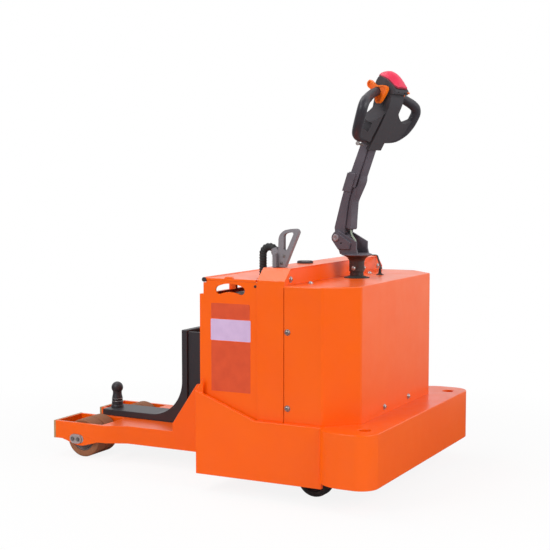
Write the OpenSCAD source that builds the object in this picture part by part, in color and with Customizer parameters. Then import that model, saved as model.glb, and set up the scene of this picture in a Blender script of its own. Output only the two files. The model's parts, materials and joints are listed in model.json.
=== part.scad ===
// Walk-behind electric tow tractor: low legs with a tow pin, battery body, hood and tiller.
// Millimetres. +X points to the tiller end, +Z up, origin on the floor under the middle.

/* [Overall] */
// Length from the leg tips to the bumper's face
overall_l = 1364; // [1320:1:1420]
// Turn of the tiller and drive wheel as parked, in degrees
steer_rest = -11; // [-30:1:30]

/* [Skirts] */
// Width over the two skirt plates
body_w = 840; // [820:1:860]
// Thickness of a skirt plate
skirt_t = 15; // [10:1:20]
// Height of the skirts' lower edge
skirt_z = 60; // [50:1:75]
// Height of the ledge and of the bumper's top
deck_z = 247; // [235:1:260]
// Height of the skirts at the tow end
skirt_high_z = 329; // [300:1:360]
// Width of the ledge that carries the hood
ledge_w = 48; // [40:1:60]
// Thickness of the ledge
ledge_t = 12; // [8:1:16]
// Length of the ear at a skirt's tow end
ear_l = 25; // [18:1:32]
// Height of that ear over the skirt
ear_h = 40; // [30:1:50]

/* [Bumper] */
// How far the bumper stands out beyond a skirt
bumper_over = 50; // [40:1:60]
// Length of the bumper beyond the skirts
bumper_l = 188; // [180:1:200]
// Height of the bumper's underside
bumper_z = 82; // [75:1:95]
// Radius of the bumper's outer corners
bumper_corner_r = 60; // [45:1:70]
// Radius of the flare where the bumper leaves the skirt
bumper_flare_r = 110; // [100:1:120]
// Thickness of the bumper's face
bumper_face_t = 92; // [70:1:96]
// Diameter of the two anchor holes
anchor_d = 40; // [30:1:46]
// Depth of an anchor hole
anchor_depth = 90; // [60:1:120]
// Distance of an anchor hole from the bumper's face
anchor_inset = 58; // [50:1:64]
// Distance of an anchor hole from the bumper's end
anchor_side = 86; // [76:1:95]

/* [Battery box] */
// Inside length of the battery box
box_l = 197; // [190:1:215]
// Setback of a gate behind the portal's side
gate_inset = 2; // [0:0.5:5]
// Thickness of a gate
gate_t = 6; // [4:1:8]
// Thickness of the wall at the tow end
wall_t = 14; // [10:1:18]
// Height of that wall
wall_top_z = 643; // [620:1:660]
// Height of the lid's top
lid_z = 695; // [685:1:705]
// Height of the lid's folded rim
lid_rim = 8; // [6:1:12]
// Thickness of the sheet covers
sheet_t = 4; // [3:0.5:5]
// Thickness of the battery floor
floor_t = 10; // [8:1:14]
// Radius of the lid's hinge rod
rod_r = 6; // [5:0.5:7]
// Length of a gate's hand slot between its end centres
slot_l = 80; // [60:1:100]
// Width of a hand slot
slot_w = 27; // [24:1:32]
// Rise of a hand slot's middle over its ends
slot_rise = 8; // [5:1:14]
// Height of a hand slot's middle
slot_z = 666; // [655:1:668]

/* [Portal] */
// Length of the portal between the box and the hood
portal_l = 94; // [85:1:105]
// Setback of the portal and the hood behind the skirt's side
hood_inset = 19; // [17:1:20]
// Height at which the portal's shoulders begin
shoulder_z = 694; // [690:1:700]
// Height of the ridge
ridge_z = 732; // [725:1:745]
// Slope width of a shoulder
shoulder_w = 44; // [30:1:55]
// Thickness of the portal's plate
portal_t = 5; // [4:0.5:7]
// Overhang of the ridge's lip over the hood
lip_l = 4; // [3:0.5:6]

/* [Hood] */
// Length of the hood
hood_l = 226; // [215:1:235]
// Width of the hood's corner slants
slant_w = 93; // [76:1:110]
// Length of the hood's corner slants
hood_slant = 92; // [80:1:105]
// Height of the hood's top
hood_z = 680; // [670:1:690]

/* [Legs] */
// Gap between the two legs
leg_gap = 124; // [116:1:130]
// Width of a leg at its rollers
leg_w = 164; // [160:1:170]
// Width of a leg behind its rollers
leg_back_w = 130; // [120:1:140]
// Underside of a leg
leg_z0 = 64; // [58:1:70]
// Top of a leg
leg_z1 = 128; // [122:1:132]
// Thickness of a leg's plates
leg_t = 12; // [10:1:13]
// Length of the roller bay
bay_l = 226; // [215:1:235]
// Length over which a leg narrows
jog_l = 77; // [60:1:95]
// Drop of the leg's side at the axle
leg_dip = 19; // [14:1:22]
// Height of the gusset's front edge over the leg
gusset_foot = 28; // [20:1:36]
// Height of the gusset's top
gusset_z = 303; // [285:1:320]
// Share of the leg that the gusset takes
gusset_share = 0.327; // [0.28:0.001:0.36]
// Run of the gusset's slope
gusset_run = 100; // [80:1:120]

/* [Rollers] */
// Diameter of a load roller
roller_d = 138; // [132:1:140]
// Width of one roller
roller_w = 62; // [58:1:63]
// Diameter of a roller's hub
roller_hub_d = 92; // [80:1:100]
// Diameter of a roller axle
roller_axle_d = 30; // [25:1:35]
// Distance of the axle from the leg tip
roller_inset = 116; // [110:1:122]
// Running clearance of a shaft in its bore
run_gap = 0.05; // [0.02:0.01:0.09]
// Length of the axle's keeper plate
keeper_l = 50; // [44:1:56]
// Height of the keeper plate
keeper_h = 34; // [30:1:38]

/* [Hitch] */
// Width of the hitch bracket
hitch_w = 120; // [110:1:124]
// Thickness of the hitch bracket
hitch_t = 23; // [20:1:26]
// Distance of the hitch's tip from the leg tips
hitch_inset = 101; // [95:1:110]
// Share of the leg's length behind the hitch's upright
upright_share = 0.384; // [0.36:0.001:0.4]
// Radius of the hitch's inner fillet
hitch_fillet_r = 132; // [110:1:145]
// Height of the upright's top
upright_z = 470; // [450:1:490]
// Width of the column behind the hitch
column_w = 104; // [96:1:110]
// Length of the column
column_l = 86; // [75:1:100]
// Thickness of the column's plates
column_t = 10; // [8:1:12]
// Distance of the tow pin from the hitch's tip
pin_inset = 25; // [23:1:30]
// Diameter of the tow pin's base
pin_d = 42; // [38:0.5:44]
// Diameter of the tow pin's neck
pin_neck_d = 30; // [26:0.5:33]
// Diameter of the tow pin's ball
pin_ball_d = 41; // [36:0.5:41.5]
// Height of the tow pin
pin_h = 96; // [90:1:105]

/* [Drive] */
// Distance of the steering axis from the bumper's face
steer_inset = 253; // [245:1:260]
// Diameter of the drive wheel
drive_d = 250; // [230:1:254]
// Width of the drive wheel
drive_w = 80; // [70:1:90]
// Diameter of the drive wheel's hub
drive_hub_d = 180; // [160:1:195]
// Diameter of the turntable
turn_d = 240; // [225:1:250]
// Underside of the drive deck
drive_deck_z = 300; // [290:1:310]
// Diameter of the traction motor
motor_d = 176; // [160:1:190]
// Length of the traction motor
motor_h = 250; // [220:1:270]

/* [Casters] */
// Diameter of a stabiliser wheel
caster_d = 120; // [110:1:124]
// Width of a stabiliser wheel
caster_w = 40; // [34:1:42]
// Trail of a stabiliser wheel
caster_trail = 28; // [22:1:30]
// Distance of a stabiliser's pivot from the inside of the skirt
caster_inset = 97; // [95:1:115]
// Distance of the stabiliser's pivot from the steering axis
caster_off = 24; // [15:1:30]
// Diameter of a stabiliser's axle
caster_axle_d = 15; // [12:1:18]
// Diameter of a stabiliser's pivot
caster_stem_d = 24; // [20:1:28]

/* [Tiller] */
// Diameter of the steering post
post_d = 57; // [52:1:60]
// Diameter of the clamp on the post
clamp_d = 65; // [62:1:70]
// Diameter of the collar on the hood
collar_d = 104; // [95:1:108]
// Diameter of the yoke's disc
disc_d = 115; // [105:1:118]
// Height of the disc's top
disc_z = 766; // [760:1:775]
// Height of the tilt pivot
pivot_z = 815; // [808:1:822]
// Distance of the tilt pivot behind the steering axis
pivot_back = 53; // [48:1:58]
// Width of the tiller's arm
arm_w = 56; // [50:1:62]
// Depth of the tiller's arm
arm_d = 40; // [36:1:46]
// Length of the arm below its bend
arm_low_l = 200; // [185:1:215]
// Lean of the arm below its bend
arm_lean = 13; // [8:0.5:16]
// Lean of the arm and head above the bend
head_lean = 21.5; // [18:0.5:26]
// Length of the head above the bend
head_l = 379; // [365:1:385]
// Width of the head's control block
head_w = 80; // [74:1:84]
// Width of the control block's back
head_back_w = 48; // [40:1:56]
// Radius of the head's domed top
dome_r = 48; // [44:1:50]
// Thickness of the safety button round the dome
button_t = 6; // [4:0.5:8]
// Distance of the dome's middle in front of the arm's line
dome_x = 20; // [16:1:24]
// Distance of the grips in front of the arm's line
grip_x = 36; // [30:1:40]
// Width over the two grips
grip_span = 366; // [350:1:380]
// Diameter of a grip's tube
grip_d = 29; // [26:1:32]
// Width of a speed paddle
paddle_t = 24; // [18:1:28]
// Depth of the cup in a speed paddle
paddle_cup = 13; // [8:1:16]
// Diameter of the tilt pivot's pin
pivot_d = 16; // [14:1:20]

/* [Top fittings] */
// Length of the power connector across the ridge
plug_l = 54; // [48:1:60]
// Thickness of the power connector
plug_t = 22; // [18:1:26]
// Height of the power connector
plug_h = 50; // [44:1:56]
// Height of the connector's pull handle over the ridge
handle_h = 124; // [110:1:130]
// Width of the pull handle at its top
handle_w = 76; // [64:1:80]
// Diameter of the battery lead's conduit
lead_d = 24; // [20:1:26]
// Bend radius of the battery lead
lead_bend = 24; // [22:1:30]
// Diameter of the charge gauge
gauge_d = 54; // [48:1:60]

/* [Hidden] */
$fn = 64;

orange = "orangered";
black = [0.14, 0.13, 0.15];
steel = [0.62, 0.62, 0.64];
rubber = [0.1, 0.1, 0.1];

eps = 0.01;
seat_gap = 0.3;

tip_x = -overall_l / 2;
nose_x = overall_l / 2;
skirt_x1 = nose_x - bumper_l;
hood_back = 102;
hood_x1 = nose_x - hood_back;
hood_x0 = hood_x1 - hood_l;
portal_x0 = hood_x0 - portal_l;
box_x0 = portal_x0 - box_l;
wall_x0 = box_x0 - wall_t;
skirt_lead = 6;
skirt_x0 = wall_x0 - skirt_lead;
skirt_in = body_w / 2 - skirt_t;
bumper_w = body_w + 2 * bumper_over;
anchor_y = bumper_w / 2 - anchor_side;
hood_w = body_w - 2 * hood_inset;
hood_face_w = hood_w - 2 * slant_w;
gate_w = hood_w - 2 * gate_inset;
caster_y = skirt_in - caster_inset;
gauge_y = -0.146 * hood_w;
floor_rise = 16;
floor_z = skirt_z + floor_rise;
floor_top = floor_z + floor_t;
gate_in = gate_w / 2 - gate_t;
lid_under = lid_z - lid_rim;
curl_t = 2;
curl_r = rod_r + curl_t;
rod_x = box_x0 + curl_r / 2;
rod_z = lid_z - rod_r + 1;
lug_y = gate_w / 4;
lug_t = 12;
lug_room = lug_t + 6;
lid_gap = 5;
lid_x1 = portal_x0 - lid_gap;
battery_top = wall_top_z - 10;
roller_x = tip_x + roller_inset;
roller_z = roller_d / 2;
leg_in = leg_gap / 2;
leg_out = leg_in + leg_w;
leg_back = leg_in + leg_back_w;
leg_mid = leg_in + leg_w / 2;
leg_l = wall_x0 - tip_x;
gusset_x = wall_x0 - gusset_share * leg_l;
hitch_x0 = tip_x + hitch_inset;
upright_x = wall_x0 - upright_share * leg_l;
hitch_z1 = leg_z1 + hitch_t;
pin_x = hitch_x0 + pin_inset;
steer_x = nose_x - steer_inset;
drive_z = drive_d / 2;
ring_h = 20;
caster_z = caster_d / 2;
caster_x = steer_x + caster_off;
fork_rise = 18;
fork_z = caster_d + fork_rise;
plug_x = portal_x0 + portal_l / 3;
plug_y = -(hood_w / 2 - shoulder_w - plug_l / 2 - 3);
slot_x = (box_x0 + portal_x0) / 2;
gate_split_z = wall_top_z - slot_w / 2;
neck_d = turn_d - 50;
deck_half = body_w / 2 - ledge_w;
dome_z = head_l - dome_r;
neck_w = head_w - 4;
neck_z = 0.36 * head_l;
chin_z = dome_z - head_w / 4;
grip_out = (grip_span - grip_d) / 2;
grip_lean = 20;
grip_top_r = 32;
grip_top_y = grip_out - grip_top_r;
grip_drop = 55;
grip_top_z = chin_z - grip_drop;
handle_x0 = plug_x + plug_t / 2 + 4;

// A flat shape in X and Z, thickened along Y from y0 to y1
module slab_y(y0, y1) {
    translate([0, y1, 0])
        rotate([90, 0, 0])
            linear_extrude(y1 - y0)
                children();
}

// A flat shape in Y and Z, thickened along X from x0 to x1
module slab_x(x0, x1) {
    translate([x0, 0, 0])
        rotate([90, 0, 90])
            linear_extrude(x1 - x0)
                children();
}

// A block between two corners
module block(low, high) {
    translate(low)
        cube(high - low);
}

// A round bar along Y
module bar_y(d, y0, y1) {
    translate([0, y1, 0])
        rotate([90, 0, 0])
            cylinder(d = d, h = y1 - y0);
}

// The frame that turns with the steering
module steer_frame() {
    translate([steer_x, 0, 0])
        rotate([0, 0, steer_rest])
            children();
}

// The frame of the tiller's lower arm, from the tilt pivot upwards
module arm_frame() {
    steer_frame()
        translate([-pivot_back, 0, pivot_z])
            rotate([0, arm_lean, 0])
                children();
}

// The frame of the tiller's upper arm and head, from the bend upwards
module head_frame() {
    arm_frame()
        translate([0, 0, arm_low_l])
            rotate([0, head_lean - arm_lean, 0])
                children();
}

// One skirt plate with its ledge and the ear at its tow end, on the right hand
module side_plate() {
    color(orange) {
        slab_y(-body_w / 2, -skirt_in)
            polygon([
                [skirt_x0, skirt_z], [skirt_x1, skirt_z], [skirt_x1, deck_z],
                [portal_x0, deck_z], [skirt_x0, skirt_high_z]
            ]);
        block([portal_x0, -skirt_in - eps, deck_z - ledge_t], [skirt_x1, -body_w / 2 + ledge_w, deck_z]);
        slab_y(-skirt_in - 2 * skirt_t / 3, -skirt_in - skirt_t / 3)
            polygon([
                [skirt_x0, skirt_z + ear_h], [skirt_x0 + ear_l, skirt_z + ear_h],
                [skirt_x0 + ear_l, skirt_high_z + ear_h], [skirt_x0, skirt_high_z]
            ]);
    }
}

module side_plate_right() {
    side_plate();
}

module side_plate_left() {
    mirror([0, 1, 0])
        side_plate();
}

// The wall at the tow end, with the lugs of the lid's hinge
module front_wall() {
    color(orange)
        difference() {
            union() {
                block([wall_x0, -gate_in, skirt_z], [box_x0, gate_in, wall_top_z]);
                block([wall_x0, -skirt_in, skirt_z], [box_x0, skirt_in, floor_top]);
                for (y = [-lug_y, lug_y])
                    slab_y(y - lug_t / 2, y + lug_t / 2) {
                        translate([wall_x0, wall_top_z - eps])
                            square([rod_x + curl_r - wall_x0, rod_z - wall_top_z]);
                        translate([rod_x, rod_z])
                            circle(curl_r);
                    }
            }
            translate([rod_x, 0, rod_z])
                bar_y(2 * (rod_r + run_gap), -gate_w, gate_w);
        }
}

// The floor under the battery, between the skirts, and the sheet behind the battery
module battery_floor() {
    color(orange) {
        block([box_x0, -skirt_in, floor_z], [portal_x0, skirt_in, floor_top]);
        block([portal_x0 - sheet_t, -gate_in, floor_top - eps], [portal_x0, gate_in, lid_under - 2 * lid_rim]);
    }
}

// The plate over the drive wheel, with its hangers to the ledges and a tongue for the turntable
module drive_deck() {
    deck_t = 12;
    hanger_t = 8;
    slant_x = hood_x1 - hood_slant;
    tongue_w = turn_d + 2 * ring_h;
    color(orange)
        difference() {
            union() {
                block([portal_x0, -deck_half, drive_deck_z], [slant_x, deck_half, drive_deck_z + deck_t]);
                block([steer_x, -tongue_w / 2, drive_deck_z],
                      [hood_x1 - 2 * sheet_t, tongue_w / 2, drive_deck_z + deck_t]);
                for (y = [-deck_half, deck_half - hanger_t])
                    block([portal_x0, y, deck_z - ledge_t], [slant_x, y + hanger_t, drive_deck_z + eps]);
            }
            translate([steer_x, 0, drive_deck_z - 1])
                cylinder(d = neck_d + 10, h = deck_t + 2);
        }
}

// The portal between battery box and hood: two pillars under a ridge with sloping shoulders,
// and a lip that hangs over the hood's edge
module portal_shape(inset) {
    half = hood_w / 2 - inset;
    top = ridge_z - inset;
    slope = shoulder_w - inset / 2;
    polygon([
        [-half, deck_z], [-half, shoulder_z - inset / 2], [-half + slope, top],
        [half - slope, top], [half, shoulder_z - inset / 2], [half, deck_z]
    ]);
}

module portal_frame() {
    wall_low = lid_under - 40;
    color(orange) {
        difference() {
            slab_x(portal_x0, hood_x0)
                portal_shape(0);
            slab_x(portal_x0 - 1, hood_x0 + 1)
                difference() {
                    portal_shape(portal_t);
                    translate([-hood_w, deck_z - hood_w])
                        square([2 * hood_w, hood_w - 1]);
                }
            block([portal_x0 - 1, -hood_w / 2 + portal_t, deck_z - 1],
                  [hood_x0 + 1, hood_w / 2 - portal_t, deck_z + 2]);
        }
        for (x = [portal_x0, hood_x0 - portal_t])
            slab_x(x, x + portal_t)
                intersection() {
                    portal_shape(portal_t - eps);
                    translate([-hood_w, wall_low])
                        square([2 * hood_w, hood_w]);
                }
        slab_x(hood_x0 - eps, hood_x0 + lip_l)
            difference() {
                portal_shape(0);
                portal_shape(portal_t - 2);
                translate([-hood_w, 0])
                    square([2 * hood_w, hood_z + 1]);
            }
    }
}

// Plan of the hood, drawn in by the thickness of its sheet
module hood_plan(inset) {
    half = hood_w / 2 - inset;
    face = hood_face_w / 2 - inset / 2;
    slant_x = hood_x1 - hood_slant - inset / 2;
    polygon([
        [hood_x0, -half], [slant_x, -half], [hood_x1 - inset, -face],
        [hood_x1 - inset, face], [slant_x, half], [hood_x0, half]
    ]);
}

module hood() {
    color(orange)
        difference() {
            translate([0, 0, deck_z])
                linear_extrude(hood_z - deck_z)
                    hood_plan(0);
            translate([-1, 0, deck_z - 1])
                linear_extrude(hood_z - sheet_t - deck_z + 1)
                    hood_plan(sheet_t);
            translate([steer_x, 0, hood_z - 2 * sheet_t])
                cylinder(d = post_d + 12, h = 3 * sheet_t);
        }
}

// Plan of the bumper: flares out from the skirts and rounds into its face
module bumper_plan() {
    half = bumper_w / 2;
    flare_x = skirt_x1 + 85;
    corner_x = nose_x - bumper_corner_r;
    intersection() {
        union() {
            translate([skirt_x1, -half + bumper_corner_r])
                square([bumper_l, bumper_w - 2 * bumper_corner_r]);
            translate([flare_x, -half])
                square([corner_x - flare_x, bumper_w]);
            for (s = [-1, 1]) {
                translate([flare_x, s * (half - bumper_flare_r)])
                    circle(bumper_flare_r);
                translate([corner_x, s * (half - bumper_corner_r)])
                    circle(bumper_corner_r);
            }
        }
        translate([skirt_x1, -bumper_w])
            square([bumper_l, 2 * bumper_w]);
    }
}

module bumper() {
    bay_wall = 140;
    wheel_bay = bumper_w - 2 * bay_wall;
    top_t = 10;
    wheel_room = 8;
    sweep_r = sqrt(drive_d * drive_d + drive_w * drive_w) / 2 + wheel_room;
    color(orange)
        difference() {
            translate([0, 0, bumper_z])
                linear_extrude(deck_z - bumper_z)
                    bumper_plan();
            block([skirt_x1 - 1, -skirt_in, bumper_z - 1], [skirt_x1 + 60, skirt_in, deck_z - top_t]);
            block([skirt_x1 - 1, -wheel_bay / 2, bumper_z - 1],
                  [nose_x - bumper_face_t, wheel_bay / 2, deck_z - top_t]);
            translate([steer_x, 0, bumper_z])
                cylinder(r = sweep_r, h = deck_z - bumper_z + 1);
            for (s = [-1, 1])
                translate([nose_x - anchor_inset, s * anchor_y, deck_z - anchor_depth])
                    cylinder(d = anchor_d, h = anchor_depth + 1);
        }
}

// Plan of the right leg: wide round its rollers, then stepping in towards the body
module leg_plan() {
    polygon([
        [tip_x, -leg_out], [tip_x + bay_l, -leg_out], [tip_x + bay_l + jog_l, -leg_back],
        [wall_x0, -leg_back], [wall_x0, -leg_in], [tip_x, -leg_in]
    ]);
}

// Side of a leg, dipping round the axle
module leg_side() {
    dip_l = 130;
    polygon([
        [tip_x, leg_z0], [roller_x - dip_l / 2 - 15, leg_z0], [roller_x - 12, leg_z0 - leg_dip],
        [roller_x + 12, leg_z0 - leg_dip], [roller_x + dip_l / 2 + 15, leg_z0],
        [wall_x0, leg_z0], [wall_x0, leg_z1], [tip_x, leg_z1]
    ]);
}

module leg() {
    bay_x1 = tip_x + bay_l - 18;
    color(orange)
        difference() {
            union() {
                intersection() {
                    translate([0, 0, leg_z0 - leg_dip])
                        linear_extrude(leg_z1 - leg_z0 + leg_dip)
                            leg_plan();
                    slab_y(-leg_out, -leg_in)
                        leg_side();
                }
                slab_y(-leg_back, -leg_back + leg_t)
                    polygon([
                        [gusset_x, leg_z1 - eps], [gusset_x, leg_z1 + gusset_foot],
                        [gusset_x + gusset_run, gusset_z], [wall_x0, gusset_z], [wall_x0, leg_z1 - eps]
                    ]);
            }
            block([tip_x + leg_t, -leg_out + leg_t, 0], [bay_x1, -leg_in - leg_t, leg_z1 + 1]);
            block([bay_x1 + leg_t, -leg_back + leg_t, 0], [wall_x0 - leg_t, -leg_in - leg_t, leg_z1 - leg_t]);
            translate([roller_x, 0, roller_z])
                bar_y(roller_axle_d + 2 * run_gap, -leg_out - 1, -leg_in + 1);
        }
}

module leg_right() {
    leg();
}

module leg_left() {
    mirror([0, 1, 0])
        leg();
}

// A roller axle with the keeper plate that locks it
module roller_axle() {
    keeper_t = 6;
    color(steel) {
        translate([roller_x, 0, roller_z])
            bar_y(roller_axle_d, -leg_out, -leg_in);
        slab_y(-leg_out - keeper_t, -leg_out)
            translate([roller_x - 16, roller_z]) {
                square([keeper_l - keeper_h, keeper_h], center = true);
                for (s = [-1, 1])
                    translate([s * (keeper_l - keeper_h) / 2, 0])
                        circle(d = keeper_h);
            }
    }
}

module roller_axle_right() {
    roller_axle();
}

module roller_axle_left() {
    mirror([0, 1, 0])
        roller_axle();
}

// Twin rollers of the right leg: their hubs with a raised rim, and the treads round them
module roller_pair() {
    for (s = [-1, 1])
        translate([roller_x, -leg_mid + s * (roller_w + 2) / 2, roller_z])
            rotate([90, 0, 0])
                children();
}

module roller_hub() {
    dish = 5;
    color(steel)
        roller_pair()
            rotate_extrude()
                polygon([
                    [roller_axle_d / 2 + run_gap, -roller_w / 2], [roller_axle_d / 2 + 10, -roller_w / 2],
                    [roller_axle_d / 2 + 12, -roller_w / 2 + dish], [roller_hub_d / 2 - 7, -roller_w / 2 + dish],
                    [roller_hub_d / 2 - 5, -roller_w / 2 + 2], [roller_hub_d / 2, -roller_w / 2 + 2],
                    [roller_hub_d / 2, roller_w / 2 - 2], [roller_hub_d / 2 - 5, roller_w / 2 - 2],
                    [roller_hub_d / 2 - 7, roller_w / 2 - dish], [roller_axle_d / 2 + 12, roller_w / 2 - dish],
                    [roller_axle_d / 2 + 10, roller_w / 2], [roller_axle_d / 2 + run_gap, roller_w / 2]
                ]);
}

module roller_tread() {
    edge = 4;
    color("sienna")
        roller_pair()
            rotate_extrude()
                polygon([
                    [roller_hub_d / 2, -roller_w / 2 + 1], [roller_d / 2 - edge, -roller_w / 2 + 1],
                    [roller_d / 2, -roller_w / 2 + 1 + edge], [roller_d / 2, roller_w / 2 - 1 - edge],
                    [roller_d / 2 - edge, roller_w / 2 - 1], [roller_hub_d / 2, roller_w / 2 - 1]
                ]);
}

module roller_hub_right() {
    roller_hub();
}

module roller_hub_left() {
    mirror([0, 1, 0])
        roller_hub();
}

module roller_tread_right() {
    roller_tread();
}

module roller_tread_left() {
    mirror([0, 1, 0])
        roller_tread();
}

// The hitch: a thick arm over the legs that sweeps up into an upright
module hitch_bracket() {
    fillet_x = upright_x - hitch_fillet_r;
    fillet_z = hitch_z1 + hitch_fillet_r;
    color(black)
        slab_y(-hitch_w / 2, hitch_w / 2) {
            translate([hitch_x0, leg_z1])
                square([upright_x + hitch_t - hitch_x0, hitch_t]);
            translate([upright_x, leg_z1])
                square([hitch_t, upright_z - leg_z1]);
            difference() {
                translate([fillet_x, hitch_z1 - eps])
                    square([hitch_fillet_r + eps, hitch_fillet_r + eps]);
                translate([fillet_x, fillet_z])
                    circle(hitch_fillet_r);
            }
        }
}

// The open column behind the hitch, with sloping webs back to the body's wall
module hitch_column() {
    column_x = upright_x + hitch_t;
    column_z = upright_z - 6;
    half = column_w / 2;
    color(black) {
        for (s = [-1, 1])
            translate([0, s * (half - column_t / 2), 0])
                slab_y(-column_t / 2, column_t / 2)
                    polygon([
                        [column_x, leg_z1], [wall_x0, leg_z1], [wall_x0, gusset_z],
                        [column_x + column_l, column_z], [column_x, column_z]
                    ]);
        block([column_x + column_l - column_t, -half + column_t - eps, leg_z1],
              [column_x + column_l, half - column_t + eps, column_z]);
        block([upright_x - hitch_fillet_r, -leg_in, leg_z1 - column_t], [wall_x0, leg_in, leg_z1]);
    }
}

// The tow pin: stepped base, two rings, a waist and a ball
module tow_pin() {
    ball_z = pin_h - pin_ball_d / 2;
    color(black)
        translate([pin_x, 0, hitch_z1]) {
            cylinder(d = pin_d, h = 30);
            translate([0, 0, 30])
                cylinder(d = pin_d - 6, h = 4);
            translate([0, 0, 34])
                cylinder(d = pin_d - 3, h = 6);
            translate([0, 0, 40])
                cylinder(d1 = pin_d - 3, d2 = pin_neck_d, h = 16);
            translate([0, 0, 56])
                cylinder(d = pin_neck_d, h = ball_z - 56);
            translate([0, 0, ball_z])
                sphere(d = pin_ball_d);
        }
}

// The battery's trough
module battery() {
    side_gap = 8;
    end_gap = 20;
    color([0.35, 0.35, 0.37])
        block([box_x0 + side_gap, -gate_in + end_gap, floor_top],
              [portal_x0 - sheet_t - side_gap / 2, gate_in - end_gap, battery_top]);
}

// The arched hand slot of a gate
module slot_shape() {
    arch_r = slot_l * slot_l / (8 * slot_rise) + slot_rise / 2;
    half_a = asin(slot_l / 2 / arch_r);
    intersection() {
        difference() {
            circle(arch_r + slot_w / 2, $fn = 128);
            circle(arch_r - slot_w / 2, $fn = 128);
        }
        polygon([
            [0, 0], [2 * arch_r * sin(half_a), 2 * arch_r * cos(half_a)],
            [-2 * arch_r * sin(half_a), 2 * arch_r * cos(half_a)]
        ]);
    }
    for (s = [-1, 1])
        translate([s * arch_r * sin(half_a), arch_r * cos(half_a)])
            circle(d = slot_w);
}

// A gate at the box's end: a plain panel that carries a stepped top with the hand slot
module battery_gate() {
    color(orange)
        block([wall_x0, -gate_w / 2, floor_top], [portal_x0 - seat_gap, -gate_in, gate_split_z]);
}

module gate_top() {
    arch_r = slot_l * slot_l / (8 * slot_rise) + slot_rise / 2;
    top_z = lid_under - seat_gap;
    color(orange)
        slab_y(-gate_w / 2, -gate_in)
            difference() {
                polygon([
                    [wall_x0, gate_split_z], [portal_x0 - seat_gap, gate_split_z],
                    [portal_x0 - seat_gap, top_z], [box_x0, top_z],
                    [box_x0, wall_top_z], [wall_x0, wall_top_z]
                ]);
                translate([slot_x, slot_z - arch_r])
                    slot_shape();
                translate([rod_x, rod_z])
                    circle(curl_r + curl_t);
            }
}

module battery_gate_right() {
    battery_gate();
}

module battery_gate_left() {
    mirror([0, 1, 0])
        battery_gate();
}

module gate_top_right() {
    gate_top();
}

module gate_top_left() {
    mirror([0, 1, 0])
        gate_top();
}

module lid_hinge_rod() {
    head_t = 5;
    color(black)
        translate([rod_x, 0, rod_z]) {
            bar_y(2 * rod_r, -gate_w / 2, gate_w / 2);
            bar_y(2 * rod_r + 3, -gate_w / 2 - head_t, -gate_w / 2);
            bar_y(2 * rod_r + 3, gate_w / 2, gate_w / 2 + head_t);
        }
}

// The lid: a folded sheet with a curl round the hinge rod and a notch for the lead
module battery_lid() {
    notch_w = lead_d + 14;
    half = gate_w / 2;
    color(orange)
        difference() {
            union() {
                difference() {
                    block([rod_x, -half, lid_under], [lid_x1, half, lid_z]);
                    block([rod_x + 2 * curl_r, -half + sheet_t, lid_under - 1],
                          [lid_x1 - sheet_t, half - sheet_t, lid_z - sheet_t]);
                }
                translate([rod_x, 0, rod_z])
                    bar_y(2 * curl_r, -half, half);
            }
            translate([rod_x, 0, rod_z])
                bar_y(2 * (rod_r + run_gap), -half - 1, half + 1);
            for (y = [-lug_y, lug_y])
                block([rod_x - 2 * curl_r, y - lug_room / 2, lid_under - 20],
                      [rod_x + 1.5 * curl_r, y + lug_room / 2, lid_z + 20]);
            block([plug_x - 2 * lead_bend - notch_w / 2, plug_y - notch_w / 2, lid_under - 1],
                  [portal_x0, plug_y + notch_w / 2, lid_z + 1]);
        }
}

// The power connector on the ridge, with ribs down its sides
module power_connector() {
    rib = 4;
    color([0.5, 0.48, 0.5]) {
        block([plug_x - plug_t / 2, plug_y - plug_l / 2, ridge_z], [plug_x + plug_t / 2, plug_y + plug_l / 2, ridge_z + plug_h]);
        for (i = [0 : 4])
            translate([plug_x - plug_t / 2 - 2, plug_y - plug_l / 2 - 2, ridge_z + 6 + i * 2 * rib])
                cube([plug_t + 4, plug_l + 4, rib]);
    }
}

// The pull handle of the connector: a flat strap bent into a loop that widens upwards
module handle_outline(inset) {
    x0 = handle_x0;
    foot_w = 22;
    top_z = ridge_z + handle_h;
    round = 12;
    polygon([
        [x0 + inset, ridge_z + inset], [x0 + foot_w - inset, ridge_z + inset],
        [x0 + handle_w - inset, top_z - round], [x0 + handle_w - round, top_z - inset],
        [x0 + round + inset / 2, top_z - inset], [x0 + inset, top_z - round - inset]
    ]);
}

module connector_handle() {
    strap_w = 36;
    strap_t = 5;
    rest_z = ridge_z + plug_h - 6;
    color([0.5, 0.48, 0.5])
        slab_y(plug_y - strap_w / 2, plug_y + strap_w / 2)
            difference() {
                handle_outline(0);
                difference() {
                    handle_outline(strap_t);
                    translate([handle_x0, ridge_z])
                        square([3 * strap_w, rest_z - ridge_z]);
                }
            }
}

// The battery lead: up out of the connector, over and down into the battery box
module battery_lead() {
    top_z = ridge_z + plug_h;
    color(rubber)
        translate([plug_x - lead_bend, plug_y, top_z]) {
            rotate([90, 0, 0])
                rotate_extrude(angle = 180)
                    translate([lead_bend, 0])
                        circle(d = lead_d);
            translate([-lead_bend, 0, battery_top - top_z])
                cylinder(d = lead_d, h = top_z - battery_top + eps);
        }
}

// The charge gauge with its bezel
module charge_gauge() {
    color(black)
        translate([portal_x0 + portal_l / 3, gauge_y, ridge_z])
            rotate_extrude()
                polygon([
                    [0, 0], [gauge_d / 2, 0], [gauge_d / 2, 5], [gauge_d / 2 - 3, 8],
                    [gauge_d / 2 - 6, 8], [gauge_d / 2 - 7, 6], [0, 6]
                ]);
}

// The collar round the post, on the hood
module post_collar() {
    bore_r = post_d / 2 + seat_gap;
    color(black)
        translate([steer_x, 0, hood_z])
            rotate_extrude()
                polygon([
                    [bore_r, 0], [collar_d / 2, 0], [collar_d / 2, 3],
                    [collar_d / 2 - 6, 6], [bore_r + 4, 12], [bore_r, 12]
                ]);
}

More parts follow.
